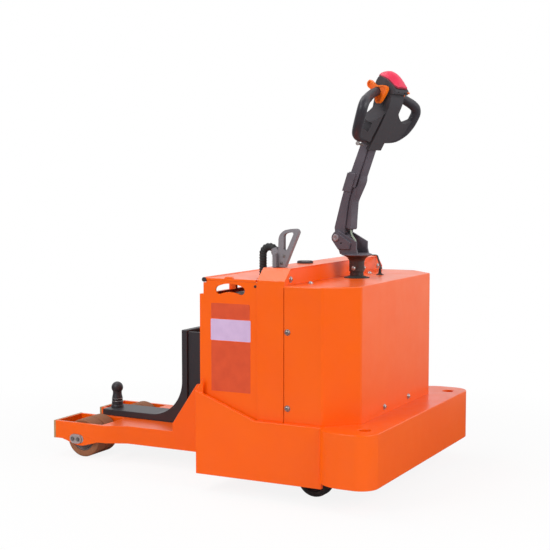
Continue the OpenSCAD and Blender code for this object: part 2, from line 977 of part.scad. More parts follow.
// The fixed ring of the turntable, under the drive deck
module turn_ring() {
    color(steel)
        translate([steer_x, 0, drive_deck_z - ring_h])
            difference() {
                cylinder(d = turn_d + 20, h = ring_h);
                translate([0, 0, -1])
                    cylinder(d = neck_d + 2 * run_gap, h = ring_h + 2);
            }
}

// The posts that hold the stabilisers under the drive deck
module caster_mounts() {
    bore_h = 44;
    color(black)
        for (s = [-1, 1])
            translate([caster_x, s * caster_y, fork_z + seat_gap])
                difference() {
                    union() {
                        cylinder(d = 2.4 * caster_stem_d, h = drive_deck_z - fork_z - seat_gap);
                        translate([0, 0, drive_deck_z - fork_z - seat_gap - 10])
                            cylinder(d = 4 * caster_stem_d, h = 10);
                    }
                    translate([0, 0, -1])
                        cylinder(d = caster_stem_d + 2 * run_gap, h = bore_h + 1);
                }
}

// The steering post with its clamp, flaring out under the yoke
module steer_post() {
    flare_h = 18;
    disc_t = 12;
    clamp_z = hood_z + 24;
    foot_z = drive_deck_z + motor_h;
    flare_z = disc_z - disc_t;
    color(black)
        steer_frame()
            rotate_extrude()
                polygon([
                    [0, foot_z], [post_d / 2, foot_z], [post_d / 2, clamp_z], [clamp_d / 2, clamp_z],
                    [clamp_d / 2, flare_z - flare_h], [disc_d / 2 - disc_t, flare_z], [0, flare_z]
                ]);
}

// The yoke: a disc and two cheeks that hold the tilt pin
module yoke_cheek() {
    boss_r = 19;
    foot = disc_z - 2;
    hull() {
        translate([-pivot_back, pivot_z])
            circle(boss_r, $fn = 32);
        polygon([
            [-pivot_back + boss_r / 2, foot], [boss_r - 6, foot],
            [boss_r + 8, foot + boss_r], [boss_r + 2, foot + 2 * boss_r - 4]
        ]);
    }
}

module tiller_yoke() {
    disc_t = 12;
    cheek_t = 11;
    cheek_in = arm_w / 2 + 2;
    pin_head = 4;
    color(black)
        steer_frame() {
            translate([0, 0, disc_z - disc_t])
                cylinder(d = disc_d, h = disc_t);
            for (y = [-cheek_in - cheek_t, cheek_in])
                slab_y(y, y + cheek_t)
                    yoke_cheek();
            translate([-pivot_back, 0, pivot_z]) {
                bar_y(pivot_d, -cheek_in - cheek_t, cheek_in + cheek_t);
                bar_y(pivot_d + 8, -cheek_in - cheek_t - pin_head, -cheek_in - cheek_t);
                bar_y(pivot_d + 8, cheek_in + cheek_t, cheek_in + cheek_t + pin_head);
            }
        }
}

// The drive unit: turntable flange, gear case beside the wheel and the wheel's stub axle
module drive_unit() {
    case_y = drive_w / 2 + 6;
    case_t = 52;
    case_r = 70;
    flange_t = 18;
    flange_z = drive_deck_z - ring_h - seat_gap;
    color([0.3, 0.3, 0.32])
        steer_frame() {
            translate([0, 0, flange_z - flange_t])
                cylinder(d = turn_d, h = flange_t);
            translate([0, 0, flange_z - eps])
                cylinder(d = neck_d, h = drive_deck_z - flange_z + eps);
            slab_y(case_y, case_y + case_t) {
                translate([0, drive_z])
                    circle(case_r);
                translate([-case_r, drive_z])
                    square([2 * case_r, flange_z - drive_z - 1]);
            }
            translate([0, 0, drive_z])
                bar_y(drive_hub_d / 3, -drive_w / 2 + 6, case_y + eps);
        }
}

module traction_motor() {
    color([0.3, 0.3, 0.32])
        steer_frame()
            translate([0, 0, drive_deck_z])
                cylinder(d = motor_d, h = motor_h);
}

// The drive wheel's tread and its dished hub
module drive_tyre() {
    edge = 6;
    color(rubber)
        steer_frame()
            translate([0, 0, drive_z])
                rotate([90, 0, 0])
                    rotate_extrude()
                        polygon([
                            [drive_hub_d / 2, -drive_w / 2], [drive_d / 2 - edge, -drive_w / 2],
                            [drive_d / 2, -drive_w / 2 + edge], [drive_d / 2, drive_w / 2 - edge],
                            [drive_d / 2 - edge, drive_w / 2], [drive_hub_d / 2, drive_w / 2]
                        ]);
}

module drive_hub() {
    bore_r = drive_hub_d / 6 + run_gap;
    dish = 16;
    color(steel)
        steer_frame()
            translate([0, 0, drive_z])
                rotate([90, 0, 0])
                    rotate_extrude()
                        polygon([
                            [bore_r, -drive_w / 2 + 2], [bore_r + 16, -drive_w / 2 + 2],
                            [bore_r + 20, -drive_w / 2 + 2], [drive_hub_d / 2 - 14, -drive_w / 2 + 2],
                            [drive_hub_d / 2 - 10, -drive_w / 2 + 2], [drive_hub_d / 2, -drive_w / 2 + 2],
                            [drive_hub_d / 2, drive_w / 2 - 2], [drive_hub_d / 2 - 10, drive_w / 2 - 2],
                            [drive_hub_d / 2 - 14, drive_w / 2 - dish], [bore_r + 20, drive_w / 2 - dish],
                            [bore_r + 16, drive_w / 2 - 2], [bore_r, drive_w / 2 - 2]
                        ]);
}

// A stabiliser fork: stem, head plate, two cheeks and the wheel's axle
module caster_fork(s) {
    cheek_in = caster_w / 2 + 4;
    cheek_t = 6;
    head_t = 8;
    color(steel)
        translate([caster_x, s * caster_y, 0]) {
            translate([0, 0, fork_z - eps])
                cylinder(d = caster_stem_d, h = 40);
            translate([0, 0, fork_z - head_t])
                cylinder(d = 2 * (cheek_in + cheek_t) + 8, h = head_t);
            for (y = [-cheek_in - cheek_t, cheek_in])
                slab_y(y, y + cheek_t)
                    polygon([
                        [-caster_trail - 16, caster_z - 14], [-caster_trail + 14, caster_z - 14],
                        [20, fork_z - head_t + 1], [-20, fork_z - head_t + 1]
                    ]);
            translate([-caster_trail, 0, caster_z])
                bar_y(caster_axle_d, -cheek_in - cheek_t - 4, cheek_in + cheek_t + 4);
        }
}

module caster_fork_right() {
    caster_fork(-1);
}

module caster_fork_left() {
    caster_fork(1);
}

module caster_wheel(s) {
    edge = 7;
    color(rubber)
        translate([caster_x - caster_trail, s * caster_y, caster_z])
            rotate([90, 0, 0])
                rotate_extrude()
                    polygon([
                        [caster_axle_d / 2 + run_gap, -caster_w / 2 - 3], [caster_axle_d / 2 + 7, -caster_w / 2 - 3],
                        [caster_axle_d / 2 + 9, -caster_w / 2 + 5], [caster_d / 2 - 22, -caster_w / 2 + 5],
                        [caster_d / 2 - 18, -caster_w / 2], [caster_d / 2 - edge, -caster_w / 2],
                        [caster_d / 2, -caster_w / 2 + edge], [caster_d / 2, caster_w / 2 - edge],
                        [caster_d / 2 - edge, caster_w / 2], [caster_d / 2 - 18, caster_w / 2],
                        [caster_d / 2 - 22, caster_w / 2 - 5], [caster_axle_d / 2 + 9, caster_w / 2 - 5],
                        [caster_axle_d / 2 + 7, caster_w / 2 + 3], [caster_axle_d / 2 + run_gap, caster_w / 2 + 3]
                    ]);
}

module caster_wheel_right() {
    caster_wheel(-1);
}

module caster_wheel_left() {
    caster_wheel(1);
}

// The tiller's arm: an eye on the tilt pin, a lower length, a sleeve at the bend and an upper length
module tiller_arm() {
    half = arm_w / 2;
    cover = half - 8;
    eye_r = 17;
    sleeve = 4;
    back = arm_d / 2;
    hip_z = 0.6 * arm_low_l;
    foot_z = 0.16 * arm_low_l;
    color(black)
        difference() {
            union() {
                arm_frame() {
                    bar_y(2 * eye_r, -half, half);
                    slab_y(-half, half)
                        polygon([
                            [-eye_r, 0], [eye_r, 0], [back - 4, foot_z], [back / 4, hip_z],
                            [back / 2, arm_low_l + 2 * sleeve], [-back / 2, arm_low_l + 2 * sleeve],
                            [-back - 1, hip_z], [-back - 5, foot_z]
                        ]);
                    slab_y(-cover, cover)
                        polygon([
                            [0, foot_z], [1.5 * back, foot_z], [back, hip_z], [back + 2, 0.72 * arm_low_l],
                            [1.75 * back, arm_low_l], [0, arm_low_l]
                        ]);
                    slab_y(-half - sleeve, half + sleeve)
                        polygon([
                            [-back + 1, 0.79 * arm_low_l], [back - 1, 0.77 * arm_low_l],
                            [1.55 * back, 1.09 * arm_low_l], [-back / 2 - 1, 1.12 * arm_low_l]
                        ]);
                }
                head_frame() {
                    slab_y(-half + 1, half - 1)
                        polygon([[-back / 2, -back], [1.2 * back, -back], [1.2 * back, neck_z], [-back / 3, neck_z]]);
                    slab_y(-cover, cover)
                        polygon([[0, -back], [1.75 * back, -back], [1.5 * back, back], [1.5 * back, neck_z], [0, neck_z]]);
                }
            }
            arm_frame()
                bar_y(pivot_d + 2 * run_gap, -arm_w, arm_w);
        }
}

// Plan of the head: square at its front and drawn in towards its back
module head_plan(half, front) {
    edge = 6;
    waist_x = dome_x - 5;
    back_x = dome_x - dome_r - 2;
    polygon([
        [front, edge - half], [front - edge, -half], [waist_x, -half], [back_x, -head_back_w / 2],
        [back_x, head_back_w / 2], [waist_x, half], [front - edge, half], [front, half - edge]
    ]);
}

// The tiller's head: a neck that widens upwards and a domed control block with slanted back corners
module tiller_head() {
    back = arm_d / 2;
    front = dome_x + dome_r + 2;
    color(black)
        head_frame() {
            intersection() {
                slab_y(-neck_w / 2, neck_w / 2)
                    polygon([
                        [-back / 2, neck_z], [2 * back - 2, neck_z], [2.5 * back, 0.55 * head_l],
                        [2.9 * back, chin_z + eps], [-back, chin_z + eps]
                    ]);
                linear_extrude(head_l)
                    head_plan(neck_w / 2, front);
            }
            intersection() {
                slab_y(-head_w / 2, head_w / 2) {
                    translate([dome_x - dome_r + 8, chin_z])
                        square([2 * dome_r - 12, dome_z - chin_z]);
                    translate([dome_x, dome_z])
                        circle(dome_r);
                }
                linear_extrude(head_l + dome_r)
                    head_plan(head_w / 2, front);
            }
        }
}

// A bend of the grip's tube in the plane of the grips, about (y, z)
module grip_bend(y, z, r, from, sweep) {
    rotate([90, 0, 90])
        translate([y, z, 0])
            rotate([0, 0, from])
                rotate_extrude(angle = sweep)
                    translate([r, 0])
                        circle(d = grip_d);
}

// A straight length of the grip's tube, let into its bends at both ends
module grip_run(y, z, r, at, away, l, d = grip_d - 2 * seat_gap) {
    let_in = 3;
    translate([0, y + r * cos(at), z + r * sin(at)])
        rotate([away ? at : at + 180, 0, 0])
            translate([0, 0, -let_in])
                cylinder(d = d, h = l + 2 * let_in);
}

// One loop: down the outside from the head to the neck, with a pocketed web in its lower half
module grip_loop() {
    lean = grip_lean;
    fall = 72;
    top_r = grip_top_r;
    low_r = 74;
    side_l = 48;
    top_y = grip_top_y;
    top_z = grip_top_z;
    low_y = top_y + top_r * cos(lean) - side_l * sin(lean) - low_r * cos(lean);
    low_z = top_z - top_r * sin(lean) - side_l * cos(lean) + low_r * sin(lean);
    end_y = low_y + low_r * cos(fall);
    end_z = low_z - low_r * sin(fall);
    side_y = low_y + low_r * cos(lean);
    side_z = low_z - low_r * sin(lean);
    slope = tan(90 - fall);
    web_t = 26;
    web_z = grip_top_z + 9;
    pocket = 12;
    pocket_z = side_z - 17;
    difference() {
        translate([grip_x, 0, 0]) {
            grip_run(top_y, top_z, top_r, 90 - lean, true, top_y);
            grip_bend(top_y, top_z, top_r, -lean, 90);
            grip_run(top_y, top_z, top_r, -lean, false, side_l);
            grip_bend(low_y, low_z, low_r, -fall, fall - lean);
            grip_run(low_y, low_z, low_r, -fall, false, low_y);
            slab_x(-web_t, 0)
                polygon([
                    [0, web_z], [neck_w / 2 + 4, web_z - 4], [neck_w / 2 + 14, web_z - 18],
                    [neck_w / 2 + 34, web_z - 29], [low_y + 18, web_z - 42], [side_y - 8, side_z + 6],
                    [side_y, side_z], [low_y + low_r * cos(46), low_z - low_r * sin(46)],
                    [end_y, end_z], [0, end_z - end_y * slope]
                ]);
        }
        block([grip_x - web_t - 1, -grip_span, 0], [grip_x + grip_d, neck_w / 2, chin_z]);
        block([grip_x - web_t - 1, -grip_span, chin_z - 1], [grip_x + grip_d, head_w / 2, 2 * head_l]);
        block([grip_x - pocket, low_y - 16, pocket_z], [grip_x + 1, low_y + 30, pocket_z + 29]);
    }
}

module head_grips() {
    color(black)
        head_frame()
            for (s = [0, 1])
                mirror([0, s, 0])
                    grip_loop();
}

// Side of a speed paddle, drawn in by its rim
module paddle_side(inset) {
    front_r = grip_d;
    back_r = 15;
    hub_z = chin_z + 1;
    hull() {
        translate([grip_x, hub_z])
            circle(front_r - inset, $fn = 32);
        translate([grip_x - 1.8 * front_r, hub_z + back_r])
            circle(back_r - inset, $fn = 32);
    }
}

// The two cupped speed paddles, each with a bore along the grip that passes through it
module speed_paddles() {
    rim = 3;
    bore_gap = 1.5;
    root = head_w / 2;
    color("darkorange")
        head_frame()
            for (s = [0, 1])
                mirror([0, s, 0])
                    difference() {
                        slab_y(root, root + paddle_t)
                            paddle_side(0);
                        slab_y(root + paddle_t - paddle_cup, root + paddle_t + 1)
                            paddle_side(rim);
                        translate([grip_x, 0, 0])
                            grip_run(grip_top_y, grip_top_z, grip_top_r, 90 - grip_lean, true, grip_top_y,
                                     grip_d + 2 * bore_gap);
                    }
}

// The safety button that wraps the head's top
module belly_button() {
    reach = 2 * dome_r;
    color("crimson")
        head_frame()
            intersection() {
                slab_y(-head_w / 2 + 7, head_w / 2 - 7)
                    translate([dome_x, dome_z])
                        intersection() {
                            difference() {
                                circle(dome_r + button_t);
                                circle(dome_r);
                            }
                            polygon([
                                [0, 0], [reach, 0.3 * reach], [reach, reach], [-reach, reach]
                            ]);
                        }
                linear_extrude(head_l + dome_r)
                    head_plan(head_w / 2, reach);
            }
}

side_plate_right();
side_plate_left();
front_wall();
battery_floor();
drive_deck();
portal_frame();
hood();
bumper();
leg_right();
leg_left();
roller_axle_right();
roller_axle_left();
hitch_bracket();
hitch_column();
tow_pin();
battery();
battery_gate_right();
battery_gate_left();
gate_top_right();
gate_top_left();
lid_hinge_rod();
battery_lid();
power_connector();
connector_handle();
battery_lead();
charge_gauge();
post_collar();
turn_ring();
caster_mounts();
steer_post();
tiller_yoke();
drive_unit();
traction_motor();
drive_tyre();
drive_hub();
tiller_arm();
tiller_head();
head_grips();
speed_paddles();
belly_button();
roller_hub_right();
roller_tread_right();
roller_hub_left();
roller_tread_left();
caster_fork_right();
caster_fork_left();
caster_wheel_right();
caster_wheel_left();
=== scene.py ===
"""Looks of a walk-behind electric tow tractor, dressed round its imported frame.

Sizes are in millimetres in the frame of the part: +X points to the tiller end, +Z up, and the
origin lies on the floor under the middle. Meshes are in metres.
"""

import json
import logging
import math
from collections.abc import Callable
from dataclasses import dataclass
from enum import Enum

import bmesh
import bpy
from mathutils import Euler, Matrix, Vector

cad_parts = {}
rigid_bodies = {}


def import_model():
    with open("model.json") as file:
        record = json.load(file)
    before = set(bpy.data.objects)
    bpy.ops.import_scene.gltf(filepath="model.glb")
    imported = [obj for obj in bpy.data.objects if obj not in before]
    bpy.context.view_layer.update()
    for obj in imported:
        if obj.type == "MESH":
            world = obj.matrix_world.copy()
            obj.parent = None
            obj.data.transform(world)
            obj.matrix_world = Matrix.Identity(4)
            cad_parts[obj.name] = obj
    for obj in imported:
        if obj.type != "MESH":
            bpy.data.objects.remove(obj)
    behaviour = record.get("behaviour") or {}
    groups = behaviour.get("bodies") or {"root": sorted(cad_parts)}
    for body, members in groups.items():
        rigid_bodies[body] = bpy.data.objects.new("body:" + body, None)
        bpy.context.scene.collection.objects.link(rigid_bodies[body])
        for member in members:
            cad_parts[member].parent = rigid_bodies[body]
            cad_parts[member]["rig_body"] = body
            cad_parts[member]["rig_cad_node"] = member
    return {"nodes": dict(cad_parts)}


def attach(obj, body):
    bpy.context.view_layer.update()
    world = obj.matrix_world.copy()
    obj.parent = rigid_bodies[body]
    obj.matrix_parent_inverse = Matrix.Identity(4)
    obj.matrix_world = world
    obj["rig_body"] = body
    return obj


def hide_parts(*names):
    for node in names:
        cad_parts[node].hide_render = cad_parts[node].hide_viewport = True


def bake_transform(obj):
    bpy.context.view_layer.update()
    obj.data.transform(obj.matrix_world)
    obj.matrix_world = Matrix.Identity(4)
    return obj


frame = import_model()

LOG = logging.getLogger("tow_tractor")
MM = 0.001
WELD = 0.01 * MM
FLAT = math.radians(0.5)

Colour = tuple[float, float, float]
Point2 = tuple[float, float]
Point3 = tuple[float, float, float]
Outline = list[Point2]
Piece = bpy.types.Object
Tree = bpy.types.NodeTree
Socket = bpy.types.NodeSocket
Test = Callable[[Vector, Vector], bool]


class Axis(Enum):
    """The axis along which a flat outline is thickened."""

    X = 0
    Y = 1
    Z = 2

    def place(self, point: Point2, depth: float) -> Vector:
        """A flat point in millimetres, set at a depth along the axis, in metres."""
        a, b = point
        rows = {Axis.X: (depth, a, b), Axis.Y: (a, depth, b), Axis.Z: (a, b, depth)}
        return Vector(rows[self]) * MM

    def along(self, length: float) -> Vector:
        """A step of that many millimetres along the axis, in metres."""
        return self.place((0.0, 0.0), length)


class Body(Enum):
    """The bodies of the part that pieces ride on."""

    CHASSIS = "chassis"
    LID = "lid"
    STEER = "steer"
    DRIVE_WHEEL = "drive_wheel"
    TILLER = "tiller"
    ROLLER_RIGHT = "roller_right"
    ROLLER_LEFT = "roller_left"
    FORK_RIGHT = "caster_fork_right"
    FORK_LEFT = "caster_fork_left"
    CASTER_RIGHT = "caster_wheel_right"
    CASTER_LEFT = "caster_wheel_left"


class Slot(Enum):
    """The record's material slots."""

    PAINT = "paint"
    DARK_PAINT = "dark_paint"
    STEEL = "steel"
    CAST_CASE = "cast_case"
    BATTERY_CASE = "battery_case"
    GREY_PLASTIC = "grey_plastic"
    BLACK_PLASTIC = "black_plastic"
    ORANGE_PLASTIC = "orange_plastic"
    RED_PLASTIC = "red_plastic"
    LEAD_RUBBER = "lead_rubber"
    DRIVE_TREAD = "drive_tread"
    ROLLER_TREAD = "roller_tread"
    CASTER_RUBBER = "caster_rubber"


def srgb(red: int, green: int, blue: int) -> Colour:
    """Turns a colour as it is seen, 0 to 255, into shader values."""
    def one(value: int) -> float:
        """One channel."""
        share = value / 255
        return share / 12.92 if share <= 0.04045 else ((share + 0.055) / 1.055) ** 2.4
    return one(red), one(green), one(blue)


@dataclass(frozen=True)
class Finish:
    """A surface with two near shades, uneven gloss, fine relief and lighter edges that are partly rubbed paint
    and partly a painted edge highlight.

    Patch, grain and spot are in cycles for each metre, relief and edge_r in millimetres. The lighter edge
    colour starts where a rounded edge's normal turns away within edge_turn, in spots within spot_span.
    """

    name: str
    slot: Slot
    shade: Colour
    shade_b: Colour
    patch: float = 6.0
    rough: Point2 = (0.3, 0.45)
    grain: float = 400.0
    relief: float = 0.05
    metallic: float = 0.0
    specular: float = 0.5
    wear_and_highlight: Colour = (0.5, 0.5, 0.5)
    wear_and_highlight_share: float = 0.0
    edge_r: float = 2.0
    edge_turn: Point2 = (0.8, 0.995)
    spot: float = 45.0
    spot_span: Point2 = (0.42, 0.68)

    def material(self) -> bpy.types.Material:
        """Finds or makes the material.

        Returns:
            The material with its nodes in place.
        """
        found = bpy.data.materials.get(self.name)
        if found:
            return found
        made = bpy.data.materials.new(self.name)
        made.use_nodes = True
        tree = made.node_tree
        shader = tree.nodes["Principled BSDF"]
        shader.inputs["Metallic"].default_value = self.metallic
        shader.inputs["Specular IOR Level"].default_value = self.specular
        place = tree.nodes.new("ShaderNodeTexCoord").outputs["Object"]
        tone = self.tone(tree, place)
        # Painted highlight and rubbed paint: rounded edges are mixed towards a lighter colour.
        if self.wear_and_highlight_share:
            tone = self.mix(tree, self.edges(tree, place), tone, self.wear_and_highlight)
        tree.links.new(tone, shader.inputs["Base Color"])
        gloss = self.span(tree, self.noise(tree, place, 4 * self.patch, 4), *self.rough)
        tree.links.new(gloss, shader.inputs["Roughness"])
        bump = tree.nodes.new("ShaderNodeBump")
        bump.inputs["Strength"].default_value = 1.0
        bump.inputs["Distance"].default_value = self.relief * MM
        tree.links.new(self.grainy(tree, place), bump.inputs["Height"])
        tree.links.new(bump.outputs["Normal"], shader.inputs["Normal"])
        return made

    def tone(self, tree: Tree, place: Socket) -> Socket:
        """The colour before the lighter edges, rubbed paint and painted highlight, are mixed in.
            place: Where a point is on the piece.

        Returns:
            The colour's socket.
        """
        share = self.span(tree, self.noise(tree, place, self.patch, 5), 0, 1)
        return self.mix(tree, share, self.shade, self.shade_b)

    def grainy(self, tree: Tree, place: Socket) -> Socket:
        """The height of the fine relief."""
        return self.noise(tree, place, self.grain, 2)

    def edges(self, tree: Tree, place: Socket) -> Socket:
        """How much lighter edge colour a point gets, partly rubbed paint and partly painted highlight, from how
        near it is to an edge.

        Args:
            tree: The material's nodes.
            place: Where a point is on the piece.

        Returns:
            A socket from 0, whole, to the finish's wear.
        """
        rounded = tree.nodes.new("ShaderNodeBevel")
        rounded.samples = 4
        rounded.inputs["Radius"].default_value = self.edge_r * MM
        flat = tree.nodes.new("ShaderNodeNewGeometry")
        turn = tree.nodes.new("ShaderNodeVectorMath")
        turn.operation = "DOT_PRODUCT"
        tree.links.new(rounded.outputs["Normal"], turn.inputs[0])
        tree.links.new(flat.outputs["Normal"], turn.inputs[1])
        # The edge mask that places the painted edge highlight, partly also rubbed paint.
        near = self.span(tree, turn.outputs["Value"], self.wear_and_highlight_share, 0, *self.edge_turn)
        spots = self.span(tree, self.noise(tree, place, self.spot, 4), 0, 1, *self.spot_span)
        return self.times(tree, near, spots)

    @staticmethod
    def times(tree: Tree, first: Socket, second: Socket) -> Socket:
        """Two values multiplied.

        Args:
            tree: The nodes to add to.
            first: One value's socket.
            second: The other's.

        Returns:
            The product's socket.
        """
        node = tree.nodes.new("ShaderNodeMath")
        node.operation = "MULTIPLY"
        tree.links.new(first, node.inputs[0])
        tree.links.new(second, node.inputs[1])
        return node.outputs["Value"]

    @staticmethod
    def length(tree: Tree, vector: Socket) -> Socket:
        """How long a vector is.

        Args:
            tree: The nodes to add to.
            vector: The vector's socket.

        Returns:
            The length's socket.
        """
        node = tree.nodes.new("ShaderNodeVectorMath")
        node.operation = "LENGTH"
        tree.links.new(vector, node.inputs[0])
        return node.outputs["Value"]

    @staticmethod
    def noise(tree: Tree, place: Socket, scale: float, detail: float) -> Socket:
        """A noise.

        Args:
            tree: The nodes to add to.
            place: Where a point is on the piece.
            scale: Its scale, in cycles for each metre.
            detail: How many finer layers it has.

        Returns:
            The noise's socket.
        """
        node = tree.nodes.new("ShaderNodeTexNoise")
        node.inputs["Scale"].default_value = scale
        node.inputs["Detail"].default_value = detail
        tree.links.new(place, node.inputs["Vector"])
        return node.outputs["Fac"]

    @staticmethod
    def span(tree: Tree, value: Socket, low: float, high: float,
             start: float = 0.35, stop: float = 0.65) -> Socket:
        """A value between two limits, spread over a new range.

        Args:
            tree: The nodes to add to.
            value: The value's socket.
            low: What the first limit becomes.
            high: What the second limit becomes.
            start: The first limit.
            stop: The second limit.

        Returns:
            The new value's socket.
        """
        node = tree.nodes.new("ShaderNodeMapRange")
        node.inputs["From Min"].default_value = start
        node.inputs["From Max"].default_value = stop
        node.inputs["To Min"].default_value = low
        node.inputs["To Max"].default_value = high
        tree.links.new(value, node.inputs["Value"])
        return node.outputs["Result"]

    @staticmethod
    def mix(tree: Tree, share: Socket, first: Colour | Socket, second: Colour | Socket) -> Socket:
        """Two colours mixed by a share of the second.

        Args:
            tree: The material's nodes.
            share: How much of the second colour shows.
            first: A colour or a socket.
            second: A colour or a socket.

        Returns:
            The mixed colour's socket.
        """
        node = tree.nodes.new("ShaderNodeMix")
        node.data_type = "RGBA"
        tree.links.new(share, node.inputs["Factor"])
        for socket, given in ((node.inputs[6], first), (node.inputs[7], second)):
            if isinstance(given, tuple):
                socket.default_value = (*given, 1)
            else:
                tree.links.new(given, socket)
        return node.outputs[2]


@dataclass(frozen=True)
class RolledFinish(Finish):
    """A tread whose running face is darker, partly with floor dirt and partly with painted shade.

    The wheel's middle is in the XZ plane of the part, in millimetres. The darker colour, floor dirt and painted
    shade, sets in within its span, counted inwards from the running face.
    """

    middle: Point2 = (0.0, 0.0)
    face_r: float = 60.0
    dust_and_shade: Colour = (0.2, 0.18, 0.17)
    blotch: float = 60.0
    dust_and_shade_least: float = 0.55
    dust_and_shade_span: Point2 = (3.0, 0.5)

    def tone(self, tree: Tree, place: Socket) -> Socket:
        """The colour before the lighter edges, darker with floor dirt and painted shade where the radius
        reaches the running face.

        Args:
            tree: The material's nodes.
            place: Where a point is on the piece.

        Returns:
            The colour's socket.
        """
        plain = super().tone(tree, place)
        centred = tree.nodes.new("ShaderNodeMapping")
        centred.inputs["Location"].default_value = (-self.middle[0] * MM, 0, -self.middle[1] * MM)
        tree.links.new(place, centred.inputs["Vector"])
        flat = tree.nodes.new("ShaderNodeVectorMath")
        flat.operation = "MULTIPLY"
        flat.inputs[1].default_value = (1, 0, 1)
        tree.links.new(centred.outputs["Vector"], flat.inputs[0])
        reach = self.length(tree, flat.outputs["Vector"])
        start, stop = ((self.face_r - inside) * MM for inside in self.dust_and_shade_span)
        face = self.span(tree, reach, 0, 1, start, stop)
        blotch = self.span(tree, self.noise(tree, place, self.blotch, 5), self.dust_and_shade_least, 1)
        # Painted shade, partly also floor dirt: the running face is mixed towards a darker colour.
        return self.mix(tree, self.times(tree, face, blotch), plain, self.dust_and_shade)


# Each finish's lighter edge colour below is partly rubbed paint and partly a painted edge highlight.
ORANGE_PAINT = Finish(
    "orange_paint", Slot.PAINT, srgb(255, 101, 2), srgb(253, 97, 1), patch=5, rough=(0.28, 0.34),
    grain=320, relief=0.02, specular=0.42, wear_and_highlight=srgb(255, 150, 80), wear_and_highlight_share=0.4)
DARK_PAINT = Finish(
    "dark_paint", Slot.DARK_PAINT, srgb(52, 48, 52), srgb(45, 42, 46), patch=14, rough=(0.4, 0.55),
    grain=700, relief=0.12, wear_and_highlight=srgb(120, 116, 122), wear_and_highlight_share=0.6)
# The post's dark paint is tinted reddish-brown as a painted reflection of the orange hood around it.
POST_PAINT = Finish(
    "post_paint", Slot.DARK_PAINT, srgb(60, 48, 47), srgb(52, 42, 42), patch=20, rough=(0.4, 0.55),
    grain=800, relief=0.08, wear_and_highlight=srgb(120, 108, 108), wear_and_highlight_share=0.5)
ARM_PAINT = Finish(
    "arm_paint", Slot.DARK_PAINT, srgb(93, 86, 96), srgb(84, 77, 87), patch=20, rough=(0.42, 0.58),
    grain=900, relief=0.1, wear_and_highlight=srgb(145, 138, 148), wear_and_highlight_share=0.55)
ZINC = Finish(
    "zinc_steel", Slot.STEEL, srgb(206, 202, 200), srgb(180, 177, 178), patch=40, rough=(0.25, 0.4),
    grain=600, relief=0.03, metallic=0.8, wear_and_highlight=srgb(225, 222, 220), wear_and_highlight_share=0.5)
CAP_STEEL = Finish(
    "cap_steel", Slot.STEEL, srgb(176, 168, 174), srgb(154, 147, 153), patch=40, rough=(0.35, 0.5),
    grain=600, relief=0.04, metallic=0.4, wear_and_highlight=srgb(215, 210, 214), wear_and_highlight_share=0.5)
KEEPER_STEEL = Finish(
    "keeper_steel", Slot.STEEL, srgb(190, 176, 174), srgb(170, 156, 155), patch=40, rough=(0.4, 0.55),
    grain=600, relief=0.04, metallic=0.2, wear_and_highlight=srgb(220, 212, 210), wear_and_highlight_share=0.5)
TIP_STEEL = Finish(
    "tip_steel", Slot.STEEL, srgb(184, 150, 104), srgb(168, 136, 94), patch=40, rough=(0.45, 0.6),
    grain=500, relief=0.05, wear_and_highlight=srgb(200, 170, 124), wear_and_highlight_share=0.4)
DULL_STEEL = Finish(
    "dull_steel", Slot.STEEL, srgb(150, 142, 140), srgb(122, 116, 115), patch=30, rough=(0.4, 0.6),
    grain=500, relief=0.06, metallic=0.6, wear_and_highlight=srgb(196, 192, 190), wear_and_highlight_share=0.6)
CAST_IRON = Finish(
    "cast_iron", Slot.CAST_CASE, srgb(62, 62, 66), srgb(46, 46, 50), patch=18, rough=(0.5, 0.68),
    grain=420, relief=0.25, wear_and_highlight=srgb(110, 108, 108), wear_and_highlight_share=0.6)
TROUGH = Finish(
    "battery_trough", Slot.BATTERY_CASE, srgb(70, 70, 74), srgb(58, 58, 62), patch=10, rough=(0.45, 0.6),
    grain=500, relief=0.08, wear_and_highlight=srgb(110, 110, 112), wear_and_highlight_share=0.4)
GREY_PLASTIC = Finish(
    "grey_plastic", Slot.GREY_PLASTIC, srgb(142, 116, 118), srgb(126, 102, 106), patch=30, rough=(0.42, 0.55),
    grain=900, relief=0.04, wear_and_highlight=srgb(190, 172, 178), wear_and_highlight_share=0.5)
BLACK_PLASTIC = Finish(
    "black_plastic", Slot.BLACK_PLASTIC, srgb(44, 46, 41), srgb(38, 40, 36), patch=24, rough=(0.4, 0.5),
    grain=1100, relief=0.08, specular=0.4, wear_and_highlight=srgb(112, 108, 116), wear_and_highlight_share=0.45)
GRIP_PLASTIC = Finish(
    "grip_plastic", Slot.BLACK_PLASTIC, srgb(60, 57, 64), srgb(51, 49, 55), patch=24, rough=(0.38, 0.48),
    grain=1300, relief=0.06, specular=0.45, wear_and_highlight=srgb(110, 106, 112), wear_and_highlight_share=0.2)
LENS = Finish(
    "gauge_lens", Slot.BLACK_PLASTIC, srgb(44, 42, 46), srgb(38, 36, 40), patch=40, rough=(0.06, 0.12),
    grain=300, relief=0.01)
PADDLE_PLASTIC = Finish(
    "paddle_plastic", Slot.ORANGE_PLASTIC, srgb(255, 122, 14), srgb(252, 108, 8), patch=30, rough=(0.3, 0.42),
    grain=900, relief=0.03, wear_and_highlight=srgb(255, 178, 96), wear_and_highlight_share=0.5)
BUTTON_PLASTIC = Finish(
    "button_plastic", Slot.RED_PLASTIC, srgb(244, 62, 96), srgb(234, 54, 86), patch=30, rough=(0.3, 0.42),
    grain=900, relief=0.03, wear_and_highlight=srgb(250, 120, 140), wear_and_highlight_share=0.15)
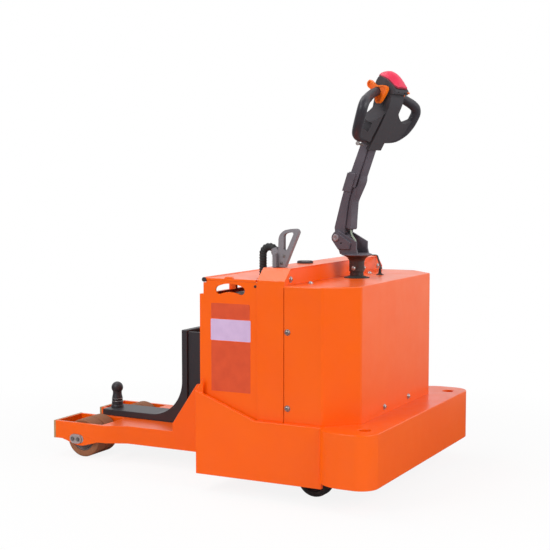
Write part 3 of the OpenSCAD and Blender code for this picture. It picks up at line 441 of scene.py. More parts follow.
# Painted shade: a darker red for the shadowed undercut under the button's rim.
BUTTON_SHADE = Finish(
    "button_painted_shade", Slot.RED_PLASTIC, srgb(150, 20, 48), srgb(132, 16, 42), patch=30, rough=(0.4, 0.5),
    grain=900, relief=0.03, wear_and_highlight=srgb(180, 40, 66), wear_and_highlight_share=0.2)
LEAD_RUBBER = Finish(
    "lead_rubber", Slot.LEAD_RUBBER, srgb(48, 46, 49), srgb(38, 37, 40), patch=40, rough=(0.4, 0.55),
    grain=800, relief=0.05, wear_and_highlight=srgb(90, 86, 90), wear_and_highlight_share=0.3)
CABLE_JACKET = Finish(
    "cable_jacket", Slot.GREY_PLASTIC, srgb(176, 190, 168), srgb(158, 172, 152), patch=60, rough=(0.4, 0.5),
    grain=900, relief=0.03, wear_and_highlight=srgb(205, 214, 200), wear_and_highlight_share=0.2)
DRIVE_RUBBER = Finish(
    "drive_rubber", Slot.DRIVE_TREAD, srgb(66, 58, 48), srgb(50, 43, 36), patch=60, rough=(0.5, 0.7),
    grain=420, relief=0.18, wear_and_highlight=srgb(100, 96, 94), wear_and_highlight_share=0.5)
CASTER_TREAD = Finish(
    "caster_tread", Slot.CASTER_RUBBER, srgb(62, 58, 58), srgb(48, 45, 46), patch=30, rough=(0.45, 0.65),
    grain=500, relief=0.12, wear_and_highlight=srgb(104, 100, 98), wear_and_highlight_share=0.5)
# The darker running-face colour is partly floor dirt and partly painted shade of the face under the leg.
ROLLER_TREAD = RolledFinish(
    "roller_tread", Slot.ROLLER_TREAD, srgb(140, 78, 32), srgb(118, 64, 27), patch=30, rough=(0.4, 0.6),
    grain=260, relief=0.15, wear_and_highlight=srgb(196, 130, 80), wear_and_highlight_share=0.4, middle=(-566, 69), face_r=68,
    dust_and_shade=srgb(98, 66, 46))
LABEL_RED = Finish(
    "label_red", Slot.PAINT, srgb(226, 82, 38), srgb(218, 76, 35), patch=30, rough=(0.35, 0.45),
    grain=900, relief=0.01, wear_and_highlight=srgb(246, 140, 100), wear_and_highlight_share=0.2)
LABEL_WHITE = Finish(
    "label_white", Slot.PAINT, srgb(216, 186, 222), srgb(208, 178, 216), patch=30, rough=(0.35, 0.45),
    grain=900, relief=0.01, wear_and_highlight=srgb(235, 220, 238), wear_and_highlight_share=0.2)


class Bench:
    """The hand tools shared by the sub-assemblies."""

    @staticmethod
    def clear() -> None:
        """Leaves edit mode and lets go of everything."""
        if bpy.context.object and bpy.context.object.mode != "OBJECT":
            bpy.ops.object.mode_set(mode="OBJECT")
        bpy.ops.object.select_all(action="DESELECT")

    @staticmethod
    def hold(piece: Piece) -> None:
        """Picks one piece up, alone."""
        Bench.clear()
        piece.select_set(True)
        bpy.context.view_layer.objects.active = piece

    @staticmethod
    def set_down(piece: Piece, matrix: Matrix | None = None) -> Piece:
        """Moves a piece by a matrix and applies its place to its mesh.

        Args:
            piece: The piece to place.
            matrix: Where its own frame lies in the part's frame.

        Returns:
            The same piece.
        """
        Bench.hold(piece)
        if matrix is not None:
            piece.matrix_world = matrix @ piece.matrix_world
        bpy.ops.object.transform_apply(location=True, rotation=True, scale=True)
        return piece

    @staticmethod
    def prism(name: str, outline: Outline, axis: Axis, low: float, high: float) -> Piece:
        """A flat outline, thickened along an axis.

        Args:
            name: The piece's name.
            outline: Its corners in order, in millimetres.
            axis: The axis it is thickened along.
            low: Where the thickness starts.
            high: Where it ends.

        Returns:
            The new piece.
        """
        Bench.clear()
        bpy.ops.mesh.primitive_circle_add(vertices=len(outline), radius=1, fill_type="NGON")
        piece = bpy.context.object
        piece.name = name
        for vertex, point in zip(piece.data.vertices, outline):
            vertex.co = axis.place(point, low)
        bpy.ops.object.mode_set(mode="EDIT")
        bpy.ops.mesh.select_all(action="SELECT")
        bpy.ops.mesh.extrude_region_move(TRANSFORM_OT_translate={"value": axis.along(high - low)})
        return Bench.heal(piece, weld=False, outward=True)

    @staticmethod
    def lathe(name: str, profile: Outline, closed: bool = False, steps: int = 48) -> Piece:
        """A profile of radius and height, spun about the Z axis.

        Args:
            name: The piece's name.
            profile: Its points in order, in millimetres.
            closed: Whether the last point joins the first.
            steps: How many steps the spin takes.

        Returns:
            The new piece.
        """
        Bench.clear()
        bpy.ops.mesh.primitive_circle_add(vertices=len(profile), radius=1, fill_type="NOTHING")
        piece = bpy.context.object
        piece.name = name
        for vertex, (radius, height) in zip(piece.data.vertices, profile):
            vertex.co = Vector((radius, 0, height)) * MM
        last = len(profile) - 1
        for edge in piece.data.edges:
            edge.select = not closed and set(edge.vertices) == {0, last}
        for vertex in piece.data.vertices:
            vertex.select = not closed and vertex.index in (0, last)
        bpy.ops.object.mode_set(mode="EDIT")
        if not closed:
            bpy.ops.mesh.select_mode(type="EDGE")
            bpy.ops.mesh.delete(type="EDGE_FACE")
        bpy.ops.mesh.select_mode(type="VERT")
        bpy.ops.mesh.select_all(action="SELECT")
        bpy.ops.mesh.spin(steps=steps, angle=2 * math.pi, center=(0, 0, 0), axis=(0, 0, 1))
        return Bench.heal(piece, outward=True)

    @staticmethod
    def tube(name: str, route: list[Point3], radius: float, swell: list[float] | None = None,
             sides: int = 6) -> Piece:
        """A round tube along a route.

        Args:
            name: The piece's name.
            route: Close points along its middle, in millimetres.
            radius: The tube's radius.
            swell: A factor on the radius at each point.
            sides: How finely the tube is rounded.

        Returns:
            The new piece, as a mesh with closed ends.
        """
        Bench.clear()
        bpy.ops.curve.primitive_nurbs_path_add()
        piece = bpy.context.object
        piece.name = name
        curve = piece.data
        curve.splines.clear()
        spline = curve.splines.new("POLY")
        spline.points.add(len(route) - 1)
        for index, point in enumerate(route):
            spline.points[index].co = (*(Vector(point) * MM), 1)
            spline.points[index].radius = swell[index] if swell else 1
        curve.dimensions = "3D"
        curve.twist_mode = "MINIMUM"
        curve.bevel_depth = radius * MM
        curve.bevel_resolution = sides
        curve.use_fill_caps = True
        bpy.ops.object.convert(target="MESH")
        return Bench.heal(bpy.context.object, outward=True)

    @staticmethod
    def soften(piece: Piece, width: float, segments: int = 3, angle: float = 35) -> Piece:
        """Rounds a piece's sharp edges and smooths its shading.

        Args:
            piece: The piece to work on.
            width: How wide an edge's round is, in millimetres.
            segments: How finely it is rounded.
            angle: The angle above which an edge counts as sharp, in degrees.

        Returns:
            The same piece.
        """
        Bench.hold(piece)
        edge = piece.modifiers.new("edge", "BEVEL")
        edge.width = width * MM
        edge.segments = segments
        edge.limit_method = "ANGLE"
        edge.angle_limit = math.radians(angle)
        edge.use_clamp_overlap = True
        edge.miter_outer = "MITER_ARC"
        bpy.ops.object.modifier_apply(modifier=edge.name)
        return Bench.smooth(piece)

    @staticmethod
    def smooth(piece: Piece, angle: float = 38) -> Piece:
        """Shades a piece smooth, with flat faces kept flat.

        Args:
            piece: The piece to work on.
            angle: The angle up to which an edge is smooth, in degrees.

        Returns:
            The same piece.
        """
        Bench.hold(piece)
        bpy.ops.object.shade_smooth_by_angle(angle=math.radians(angle))
        level = piece.modifiers.new("level", "WEIGHTED_NORMAL")
        level.keep_sharp = True
        bpy.ops.object.modifier_apply(modifier=level.name)
        return piece

    @staticmethod
    def copy_of(name: str, node: str) -> Piece:
        """A loose copy of a solid of the frame, with its triangles merged into faces.

        Args:
            name: The new piece's name.
            node: The solid's name.

        Returns:
            The new piece.
        """
        source = frame["nodes"][node]
        Bench.hold(source)
        bpy.ops.object.duplicate()
        piece = bpy.context.object
        piece.name = name
        piece.data.name = name
        piece.parent = None
        piece.matrix_world = Matrix.Identity(4)
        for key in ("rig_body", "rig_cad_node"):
            del piece[key]
        piece.data.materials.clear()
        bpy.ops.mesh.customdata_custom_splitnormals_clear()
        return Bench.heal(piece, flatten=True)

    @staticmethod
    def cut(piece: Piece, cutter: Piece, how: str = "DIFFERENCE") -> Piece:
        """Cuts one piece with another and throws the cutter away.

        Args:
            piece: The piece to work on.
            cutter: The piece to cut with.
            how: Whether the cutter is taken out or only what they share is kept.

        Returns:
            The first piece.
        """
        Bench.hold(piece)
        hole = piece.modifiers.new("hole", "BOOLEAN")
        hole.operation = how
        hole.solver = "EXACT"
        hole.object = cutter
        bpy.ops.object.modifier_apply(modifier=hole.name)
        bpy.data.objects.remove(cutter, do_unlink=True)
        return Bench.heal(piece, flatten=True)

    @staticmethod
    def edit(piece: Piece) -> None:
        """Opens one piece in edit mode, with nothing picked."""
        Bench.hold(piece)
        bpy.ops.object.mode_set(mode="EDIT")
        bpy.ops.mesh.select_mode(type="FACE")
        bpy.ops.mesh.select_all(action="DESELECT")

    @staticmethod
    def heal(piece: Piece, weld: bool = True, flatten: bool = False, outward: bool = False) -> Piece:
        """Mends a whole mesh.

        Args:
            piece: The piece to mend.
            weld: Whether double points are merged.
            flatten: Whether flat neighbours become one face.
            outward: Whether the faces are turned outwards.

        Returns:
            The same piece.
        """
        Bench.edit(piece)
        bpy.ops.mesh.select_all(action="SELECT")
        if weld:
            bpy.ops.mesh.remove_doubles(threshold=WELD)
        if flatten:
            bpy.ops.mesh.dissolve_limited(angle_limit=FLAT)
        if outward:
            bpy.ops.mesh.normals_make_consistent(inside=False)
        bpy.ops.object.mode_set(mode="OBJECT")
        return piece

    @staticmethod
    def pick_faces(piece: Piece, test: Test) -> None:
        """Opens a piece in edit mode and picks faces.

        Args:
            piece: The piece to work on.
            test: Says whether a face counts, from its middle in millimetres and its normal.
        """
        Bench.edit(piece)
        mesh = bmesh.from_edit_mesh(piece.data)
        for face in mesh.faces:
            face.select_set(test(face.calc_center_median() / MM, face.normal))
        bmesh.update_edit_mesh(piece.data)

    @staticmethod
    def pick_edges(piece: Piece, test: Test, angle: float = 20) -> None:
        """Opens a piece in edit mode and picks sharp edges.

        Args:
            piece: The piece to work on.
            test: Says whether an edge counts, from its two ends in millimetres.
            angle: The least angle between an edge's faces, in degrees.
        """
        Bench.edit(piece)
        bpy.ops.mesh.select_mode(type="EDGE")
        mesh = bmesh.from_edit_mesh(piece.data)
        for edge in mesh.edges:
            first, second = (vertex.co / MM for vertex in edge.verts)
            sharp = len(edge.link_faces) == 2 and edge.calc_face_angle() > math.radians(angle)
            edge.select_set(sharp and test(first, second))
        bmesh.update_edit_mesh(piece.data)

    @staticmethod
    def round_edges(piece: Piece, test: Test, width: float, segments: int = 4) -> None:
        """Rounds the sharp edges that pass a test.

        Args:
            piece: The piece to work on.
            test: Says whether an edge counts, from its two ends in millimetres.
            width: How wide the round is, in millimetres.
            segments: How finely it is rounded.
        """
        Bench.pick_edges(piece, test)
        bpy.ops.mesh.bevel(offset=width * MM, segments=segments, profile=0.5)
        bpy.ops.object.mode_set(mode="OBJECT")

    @staticmethod
    def join(name: str, parts: list[Piece]) -> Piece:
        """Joins parts into one piece.

        Args:
            name: The joined piece's name.
            parts: The parts, the first of which stays.

        Returns:
            The joined piece.
        """
        Bench.clear()
        for part in parts:
            part.select_set(True)
        bpy.context.view_layer.objects.active = parts[0]
        if len(parts) > 1:
            bpy.ops.object.join()
        parts[0].name = name
        return parts[0]

    @staticmethod
    def repeat(name: str, master: Piece, places: list[Matrix]) -> Piece:
        """Copies a master to each place, joins the copies and throws the master away.

        Args:
            name: The joined piece's name.
            master: The piece to copy, at the origin.
            places: Where each copy lies.

        Returns:
            The joined piece.
        """
        copies = []
        for place in places:
            Bench.hold(master)
            bpy.ops.object.duplicate()
            copies.append(Bench.set_down(bpy.context.object, place))
        bpy.data.objects.remove(master, do_unlink=True)
        return Bench.join(name, copies)

    @staticmethod
    def mirrored(piece: Piece) -> Piece:
        """Adds a piece's mirror image across the XZ plane to it.

        Args:
            piece: The piece to work on.

        Returns:
            The same piece.
        """
        Bench.hold(piece)
        twin = piece.modifiers.new("twin", "MIRROR")
        twin.use_axis = (False, True, False)
        twin.use_mirror_merge = False
        bpy.ops.object.modifier_apply(modifier=twin.name)
        return piece

    @staticmethod
    def aim(at: Point3, normal: Point3) -> Matrix:
        """The place of a piece that stands on a surface.

        Args:
            at: The point it stands on, in millimetres.
            normal: The direction of its Z axis.

        Returns:
            Its place in the part's frame.
        """
        turn = Vector(normal).to_track_quat("Z", "Y").to_matrix().to_4x4()
        return Matrix.Translation(Vector(at) * MM) @ turn


def arc(middle: Point2, radius: float, start: float, stop: float, steps: int) -> Outline:
    """Points on an arc.

    Args:
        middle: The arc's middle.
        radius: Its radius.
        start: The angle of the first point, in degrees.
        stop: The angle of the last point.
        steps: How many steps lie between them.

    Returns:
        The points in order.
    """
    angles = (math.radians(start + (stop - start) * i / steps) for i in range(steps + 1))
    return [(middle[0] + radius * math.cos(a), middle[1] + radius * math.sin(a)) for a in angles]


def flow(points: list[Point3], steps: int) -> list[Point3]:
    """A smooth line through points.

    Args:
        points: The points that the line passes through.
        steps: How many steps it takes between two of them.

    Returns:
        Close points on the line.
    """
    ends = [points[0], *points, points[-1]]
    line = []
    for a, b, c, d in zip(ends, ends[1:], ends[2:], ends[3:]):
        for i in range(steps):
            t = i / steps
            line.append(tuple(
                0.5 * (2 * q + (r - p) * t + (2 * p - 5 * q + 4 * r - s) * t ** 2
                       + (3 * q - p - 3 * r + s) * t ** 3)
                for p, q, r, s in zip(a, b, c, d)))
    return [*line, points[-1]]


def settle(piece: Piece, finish: Finish, body: Body, *nodes: str) -> Piece:
    """Gives a piece its finish, its body and the solids that it stands for.

    Args:
        piece: The finished piece.
        finish: Its surface.
        body: The body it moves with.
        *nodes: The solids that it replaces.

    Returns:
        The same piece.
    """
    piece.data.materials.clear()
    piece.data.materials.append(finish.material())
    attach(piece, body.value)
    if nodes:
        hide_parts(*nodes)
    LOG.info("%s rides on %s", piece.name, body.value)
    return piece


@dataclass
class Dressed:
    """A solid of the frame that keeps its shape and gets rounded edges and a finish."""

    node: str
    name: str
    finish: Finish
    body: Body
    width: float = 2.0
    segments: int = 3
    drop: float = 0.0

    def build(self) -> Piece:
        """Copies the solid, draws its lowest face down, rounds it and settles it in the solid's place.

        Returns:
            The new piece.
        """
        piece = Bench.copy_of(self.name, self.node)
        if self.drop:
            low = min(vertex.co.z for vertex in piece.data.vertices) / MM
            Bench.pick_faces(piece, lambda middle, normal: middle.z < low + 0.5)
            bpy.ops.transform.translate(value=(0, 0, -self.drop * MM))
            bpy.ops.object.mode_set(mode="OBJECT")
        Bench.soften(piece, self.width, self.segments)
        return settle(piece, self.finish, self.body, self.node)


@dataclass
class ButtonScrew:
    """A button-head screw on a washer, with a hexagon socket."""

    head_r: float = 7.5
    head_h: float = 5.0
    washer_r: float = 10.0
    washer_h: float = 1.6
    socket_r: float = 3.6
    socket_h: float = 3.0

    def master(self) -> Piece:
        """Builds one screw at the origin, standing on the XY plane.

        Returns:
            The screw, to be copied.
        """
        foot = self.washer_h
        top = foot + self.head_h
        profile = [(0, top), (0.45 * self.head_r, top - 0.2), (0.75 * self.head_r, top - 1.1),
                   (0.95 * self.head_r, top - 2.7), (self.head_r, foot), (self.washer_r - 0.4, foot),
                   (self.washer_r, foot - 0.4), (self.washer_r, 0), (0, 0)]
        head = Bench.lathe("screw", profile, steps=32)
        Bench.clear()
        bpy.ops.mesh.primitive_cylinder_add(vertices=6, radius=self.socket_r * MM, depth=2 * self.socket_h * MM,
                                            location=(0, 0, top * MM))
        Bench.cut(head, Bench.set_down(bpy.context.object))
        return Bench.smooth(head)


@dataclass
class HexBolt:
    """A hexagon bolt head on a thin washer."""

    head_r: float = 9.0
    head_h: float = 6.0
    washer_r: float = 11.0
    washer_h: float = 1.5

    def master(self) -> Piece:
        """Builds one bolt at the origin, standing on the XY plane.

        Returns:
            The bolt, to be copied.
        """
        foot = self.washer_h
        profile = [(0, 0), (self.washer_r, 0), (self.washer_r, foot), (0, foot)]
        washer = Bench.lathe("washer", profile, steps=28)
        corners = [(self.head_r * math.cos(a), self.head_r * math.sin(a))
                   for a in (math.radians(60 * i) for i in range(6))]
        head = Bench.prism("bolt", corners, Axis.Z, foot - 0.2, foot + self.head_h)
        Bench.soften(head, 0.8, 2)
        return Bench.join("bolt", [head, Bench.soften(washer, 0.3, 2)])


@dataclass
class Shell:
    """The painted sheet-metal body: skirts, bumper, portal, hood, battery box, and its screws."""

    hem: float = 5.0
    hood_x0: float = 354.0
    hood_x1: float = 580.0
    hood_half: float = 401.0
    hood_z: float = 680.0
    hood_bend: float = 7.0
    hood_brow: float = 4.0
    fold_y: float = 306.0
    post_room: float = 60.0
    seam: float = 2.6
    seam_z: Point2 = (80.0, 674.0)
    post_x: float = 429.0
    side_screw_x: float = 368.0
    gate_out: float = 399.0
    gate_in: float = 393.0
    gate_x0: float = 49.0
    gate_x1: float = 259.7
    gate_z0: float = 86.0
    gate_z1: float = 686.7
    step_x: float = 63.0
    step_z: float = 643.0
    slot_middle: Point2 = (161.5, 562.0)
    slot_r: float = 104.0
    slot_w: float = 27.0
    slot_half: float = 22.62
    rod: Point2 = (67.0, 690.0)
    rod_room: float = 10.0
    label_t: float = 0.6
    label_r: float = 3.0
    boot: Point3 = (454.0, 145.0, 680.0)
    cable_r: float = 3.0

    def build(self) -> None:
        """Builds every piece of the shell."""
        for side in ("right", "left"):
            node, name = f"side_plate_{side}", f"skirt_{side}"
            Dressed(node, name, ORANGE_PAINT, Body.CHASSIS, 1.6, drop=self.hem).build()
        for node, name, width in (
                ("front_wall", "tow_end_wall", 1.5), ("battery_floor", "battery_tray", 1.5),
                ("drive_deck", "drive_plate", 1.5), ("portal_frame", "portal_shell", 0.9)):
            Dressed(node, name, ORANGE_PAINT, Body.CHASSIS, width).build()
        Dressed("bumper", "bumper_block", ORANGE_PAINT, Body.CHASSIS, 4.0, 4, self.hem).build()
        self.hood()
        self.gates()
        Dressed("battery_lid", "lid_sheet", ORANGE_PAINT, Body.LID, 0.9).build()
        tab = Bench.prism("lid_tab", [(138, 695), (172, 695), (166, 701), (144, 701)], Axis.Y, -398, -386)
        settle(Bench.soften(tab, 1.2, 3), ORANGE_PAINT, Body.LID)
        Dressed("battery", "battery_block", TROUGH, Body.CHASSIS, 4).build()
        Dressed("lid_hinge_rod", "lid_pin", DARK_PAINT, Body.CHASSIS, 1).build()
        self.screws()
        self.labels()
        self.cable()

    def hood(self) -> None:
        """Builds the hood with its folded corners and soft brow."""
        piece = Bench.copy_of("hood_shell", "hood")

        def bend(first: Vector, second: Vector) -> bool:
            """Whether an edge is an outer fold."""
            upright = abs(first.z - second.z) > 300 and (first - second).xy.length < 1
            outer = first.x > self.hood_x1 - 10 or abs(first.y) > self.hood_half - 1
            return upright and outer and first.x > self.hood_x0 + 5 and abs(first.y) > self.fold_y

        def brow(first: Vector, second: Vector) -> bool:
            """Whether an edge runs round the top, away from the post's hole."""
            level = min(first.z, second.z) > self.hood_z - 0.5
            away = all(math.hypot(end.x - self.post_x, end.y) > self.post_room for end in (first, second))
            return level and away and max(first.x, second.x) > self.hood_x0 + 1

        Bench.round_edges(piece, bend, self.hood_bend, 5)
        Bench.round_edges(piece, brow, self.hood_brow, 4)
        for sign in (-1, 1):
            edge = sorted((sign * (self.hood_half - 4), sign * (self.hood_half + 4)))
            seam = [(self.hood_x0 - 4, edge[0]), (self.hood_x0 + self.seam, edge[0]),
                    (self.hood_x0 + self.seam, edge[1]), (self.hood_x0 - 4, edge[1])]
            Bench.cut(piece, Bench.prism("seam", seam, Axis.Z, *self.seam_z))
        settle(Bench.soften(piece, 1.2, 2, 50), ORANGE_PAINT, Body.CHASSIS, "hood")

    def slot_outline(self) -> Outline:
        """Draws the arched hand slot, with round ends.

        Returns:
            Its outline in X and Z.
        """
        half, low, high = self.slot_w / 2, 90 - self.slot_half, 90 + self.slot_half
        right, left = (arc(self.slot_middle, self.slot_r, a, a, 1)[0] for a in (low, high))
        return [*arc(self.slot_middle, self.slot_r + half, low, high, 16),
                *arc(left, half, high, high + 180, 10)[1:-1],
                *arc(self.slot_middle, self.slot_r - half, high, low, 16),
                *arc(right, half, low + 180, low + 360, 10)[1:-1]]

    def gates(self) -> None:
        """Builds the sheets at both ends of the battery box."""
        outline = [(self.gate_x0, self.gate_z0), (self.gate_x1, self.gate_z0), (self.gate_x1, self.gate_z1),
                   (self.step_x, self.gate_z1), (self.step_x, self.step_z), (self.gate_x0, self.step_z)]
        for side, low in (("right", -self.gate_out), ("left", self.gate_in)):
            high = low + self.gate_out - self.gate_in
            sheet = Bench.prism(f"gate_{side}", outline, Axis.Y, low, high)
            for hole in (self.slot_outline(), arc(self.rod, self.rod_room, 0, 352.5, 47)):
                Bench.cut(sheet, Bench.prism("hole", hole, Axis.Y, low - 5, high + 5))
            nodes = (f"battery_gate_{side}", f"gate_top_{side}")
            settle(Bench.soften(sheet, 1.1, 3), ORANGE_PAINT, Body.CHASSIS, *nodes)

    def screws(self) -> None:
        """Builds the cover screws and the small pin in a top corner of each gate."""
        right, front, up = (0, -1, 0), (1, 0, 0), (0, 0, 1)
        places = []
        for z in (294, 535):
            places.append(Bench.aim((self.side_screw_x, -self.hood_half, z), right))
            places.append(Bench.aim((self.side_screw_x, self.hood_half, z), (0, 1, 0)))
        for y in (-116, 100):
            places.append(Bench.aim((self.hood_x1, y, 270), front))
        for x, y in ((387, -276), (396, 190)):
            places.append(Bench.aim((x, y, self.hood_z), up))
        for y, z in ((-352, 697), (365, 694)):
            places.append(Bench.aim((self.hood_x0, y, z), front))
        settle(Bench.repeat("cover_screws", ButtonScrew().master(), places), ZINC, Body.CHASSIS)
        pins = [Bench.aim((253, -self.gate_out, 674), right), Bench.aim((253, self.gate_out, 674), (0, 1, 0))]
        small = ButtonScrew(3.6, 2.4, 4.6, 0.8, 1.6, 1.4)
        settle(Bench.repeat("gate_pins", small.master(), pins), DARK_PAINT, Body.CHASSIS)

    def labels(self) -> None:
        """Builds the blank stickers on the near gate."""
        for name, x0, x1, z0, z1, finish in (
                ("plate_label", 92, 233, 566, 615, LABEL_RED), ("middle_label", 90, 236, 495, 564, LABEL_WHITE),
                ("lower_label", 92, 235, 330, 493, LABEL_RED)):
            sheet = Bench.prism(name, [(x0, z0), (x1, z0), (x1, z1), (x0, z1)], Axis.Y,
                                -self.gate_out - self.label_t, -self.gate_out)
            Bench.round_edges(sheet, lambda a, b: abs(a.y - b.y) > self.label_t / 2, self.label_r, 4)
            settle(Bench.soften(sheet, 0.2, 2), finish, Body.CHASSIS)

    def cable(self) -> None:
        """Builds the rubber boot on the hood and the cable that it lets out."""
        x, y, z = self.boot
        profile = [(0, 0), (13, 0), (13.5, 1.4), (9, 3.4), (5.6, 5.6), (5, 10), (5.6, 10.6), (4.8, 11.4),
                   (4.6, 15), (5.2, 15.6), (4.4, 16.6), (4, 22), (0, 22)]
        boot = Bench.lathe("cable_boot", profile, steps=32)
        Bench.set_down(Bench.smooth(boot), Matrix.Translation(Vector(self.boot) * MM))
        settle(boot, LEAD_RUBBER, Body.CHASSIS)
        route = flow([(x, y, z + 14), (x - 1, y + 3, z + 24), (x - 10, y + 32, z + 23),
                      (x - 34, y + 97, z + 16), (x - 54, y + 138, z + 19), (x - 74, y + 176, z + 28),
                      (x - 90, y + 200, z + 44), (x - 97, y + 208, z + 52), (x - 112, y + 212, z + 53),
                      (x - 124, y + 214, z + 50)], 6)
        settle(Bench.smooth(Bench.tube("hood_cable", route, self.cable_r)), LEAD_RUBBER, Body.CHASSIS)


@dataclass
class TowEnd:
    """The legs, their rollers and the hitch."""

    pin: Point3 = (-556.0, 0.0, 151.0)
    keeper_x: float = -582.0
    keeper_y: float = 232.0
    keeper_z: float = 69.0
    bolt_step: float = 11.5
    tip_x: float = -682.0
    tip_t: float = 8.0
    tip_proud: float = 0.5

    def build(self) -> None:
        """Builds every piece of the tow end."""
        for side, body, sign in (("right", Body.ROLLER_RIGHT, -1), ("left", Body.ROLLER_LEFT, 1)):
            self.tip_plate(side)
            Dressed(f"leg_{side}", f"leg_box_{side}", ORANGE_PAINT, Body.CHASSIS, 1.8).build()
            Dressed(f"roller_axle_{side}", f"axle_keeper_{side}", KEEPER_STEEL, Body.CHASSIS, 1.0).build()
            Dressed(f"roller_hub_{side}", f"hub_{side}", DULL_STEEL, body, 1.0, 2).build()
            Dressed(f"roller_tread_{side}", f"tread_{side}", ROLLER_TREAD, body, 1.2, 2).build()
            places = [Bench.aim((self.keeper_x + step, sign * self.keeper_y, self.keeper_z), (0, sign, 0))
                      for step in (-self.bolt_step, self.bolt_step)]
            bolts = Bench.repeat(f"keeper_bolts_{side}", HexBolt(6.2, 3.6, 7.6, 1.0).master(), places)
            settle(bolts, DULL_STEEL, Body.CHASSIS)
        Dressed("hitch_bracket", "hitch_arm", DARK_PAINT, Body.CHASSIS, 2.2).build()
        Dressed("hitch_column", "hitch_mast", DARK_PAINT, Body.CHASSIS, 1.5).build()
        self.tow_pin()

    def tip_plate(self, side: str) -> None:
        """Builds the bare plate that closes a leg's tip.

        Args:
            side: The leg's side.
        """
        plate = Bench.copy_of(f"tip_plate_{side}", f"leg_{side}")
        low, high, wide = self.tip_x - 20, self.tip_x + self.tip_t, 300
        room = [(low, -wide), (high, -wide), (high, wide), (low, wide)]
        Bench.cut(plate, Bench.prism("room", room, Axis.Z, 0, wide), "INTERSECT")
        Bench.edit(plate)
        bpy.ops.mesh.select_all(action="SELECT")
        bpy.ops.transform.shrink_fatten(value=self.tip_proud * MM)
        bpy.ops.object.mode_set(mode="OBJECT")
        settle(Bench.soften(plate, 0.8, 2), TIP_STEEL, Body.CHASSIS)

    def tow_pin(self) -> None:
        """Builds the turned tow pin and the two bright rings on it."""
        stand = Matrix.Translation(Vector(self.pin) * MM)
        profile = [(0, 0), (23.4, 0), (24, 0.8), (23.4, 6), (22, 9), (21.2, 10), (21, 21), (20.6, 22),
                   (20, 22.4), (20, 23.8), (20.2, 24.2), (20.2, 31.6), (19.8, 32.2), (19.8, 33.6), (20, 34),
                   (19.6, 37), (18.4, 43), (17, 50), (16.6, 55), (17, 58), *arc((0, 74.5), 22, -42, 88, 22),
                   (0, 96.4)]
        post = Bench.lathe("pin_post", profile, steps=48)
        settle(Bench.set_down(Bench.smooth(post, 30), stand), DARK_PAINT, Body.CHASSIS, "tow_pin")
        section = [(18, 0), (20.6, 0), (21, 0.4), (21, 1.2), (20.6, 1.6), (18, 1.6)]
        rings = [Bench.lathe("ring", [(radius, z + up) for radius, up in section], True) for z in (22.4, 32.2)]
        settle(Bench.set_down(Bench.smooth(Bench.join("pin_rings", rings)), stand), ZINC, Body.CHASSIS)


@dataclass
class Undercarriage:
    """The drive wheel, its unit and the stabilisers under the hood."""

    case_edge: float = 2.0
    motor_edge: float = 4.0
    wheel_edge: float = 1.5
    fine_edge: float = 1.0

    def build(self) -> None:
        """Builds every piece of the undercarriage."""
        for node, name, finish, body, width, segments in (
                ("drive_unit", "gear_case", CAST_IRON, Body.STEER, self.case_edge, 3),
                ("traction_motor", "motor_case", CAST_IRON, Body.STEER, self.motor_edge, 3),
                ("drive_tyre", "drive_tread", DRIVE_RUBBER, Body.DRIVE_WHEEL, self.wheel_edge, 2),
                ("drive_hub", "drive_disc", DULL_STEEL, Body.DRIVE_WHEEL, self.wheel_edge, 2),
                ("turn_ring", "turntable", DULL_STEEL, Body.CHASSIS, self.fine_edge, 3),
                ("caster_mounts", "stabiliser_posts", DARK_PAINT, Body.CHASSIS, self.fine_edge, 3)):
            Dressed(node, name, finish, body, width, segments).build()
        for side, fork, wheel in (("right", Body.FORK_RIGHT, Body.CASTER_RIGHT),
                                  ("left", Body.FORK_LEFT, Body.CASTER_LEFT)):
            Dressed(f"caster_fork_{side}", f"stabiliser_fork_{side}", DULL_STEEL, fork, self.fine_edge).build()
            name = f"stabiliser_wheel_{side}"
            Dressed(f"caster_wheel_{side}", name, CASTER_TREAD, wheel, self.wheel_edge, 2).build()


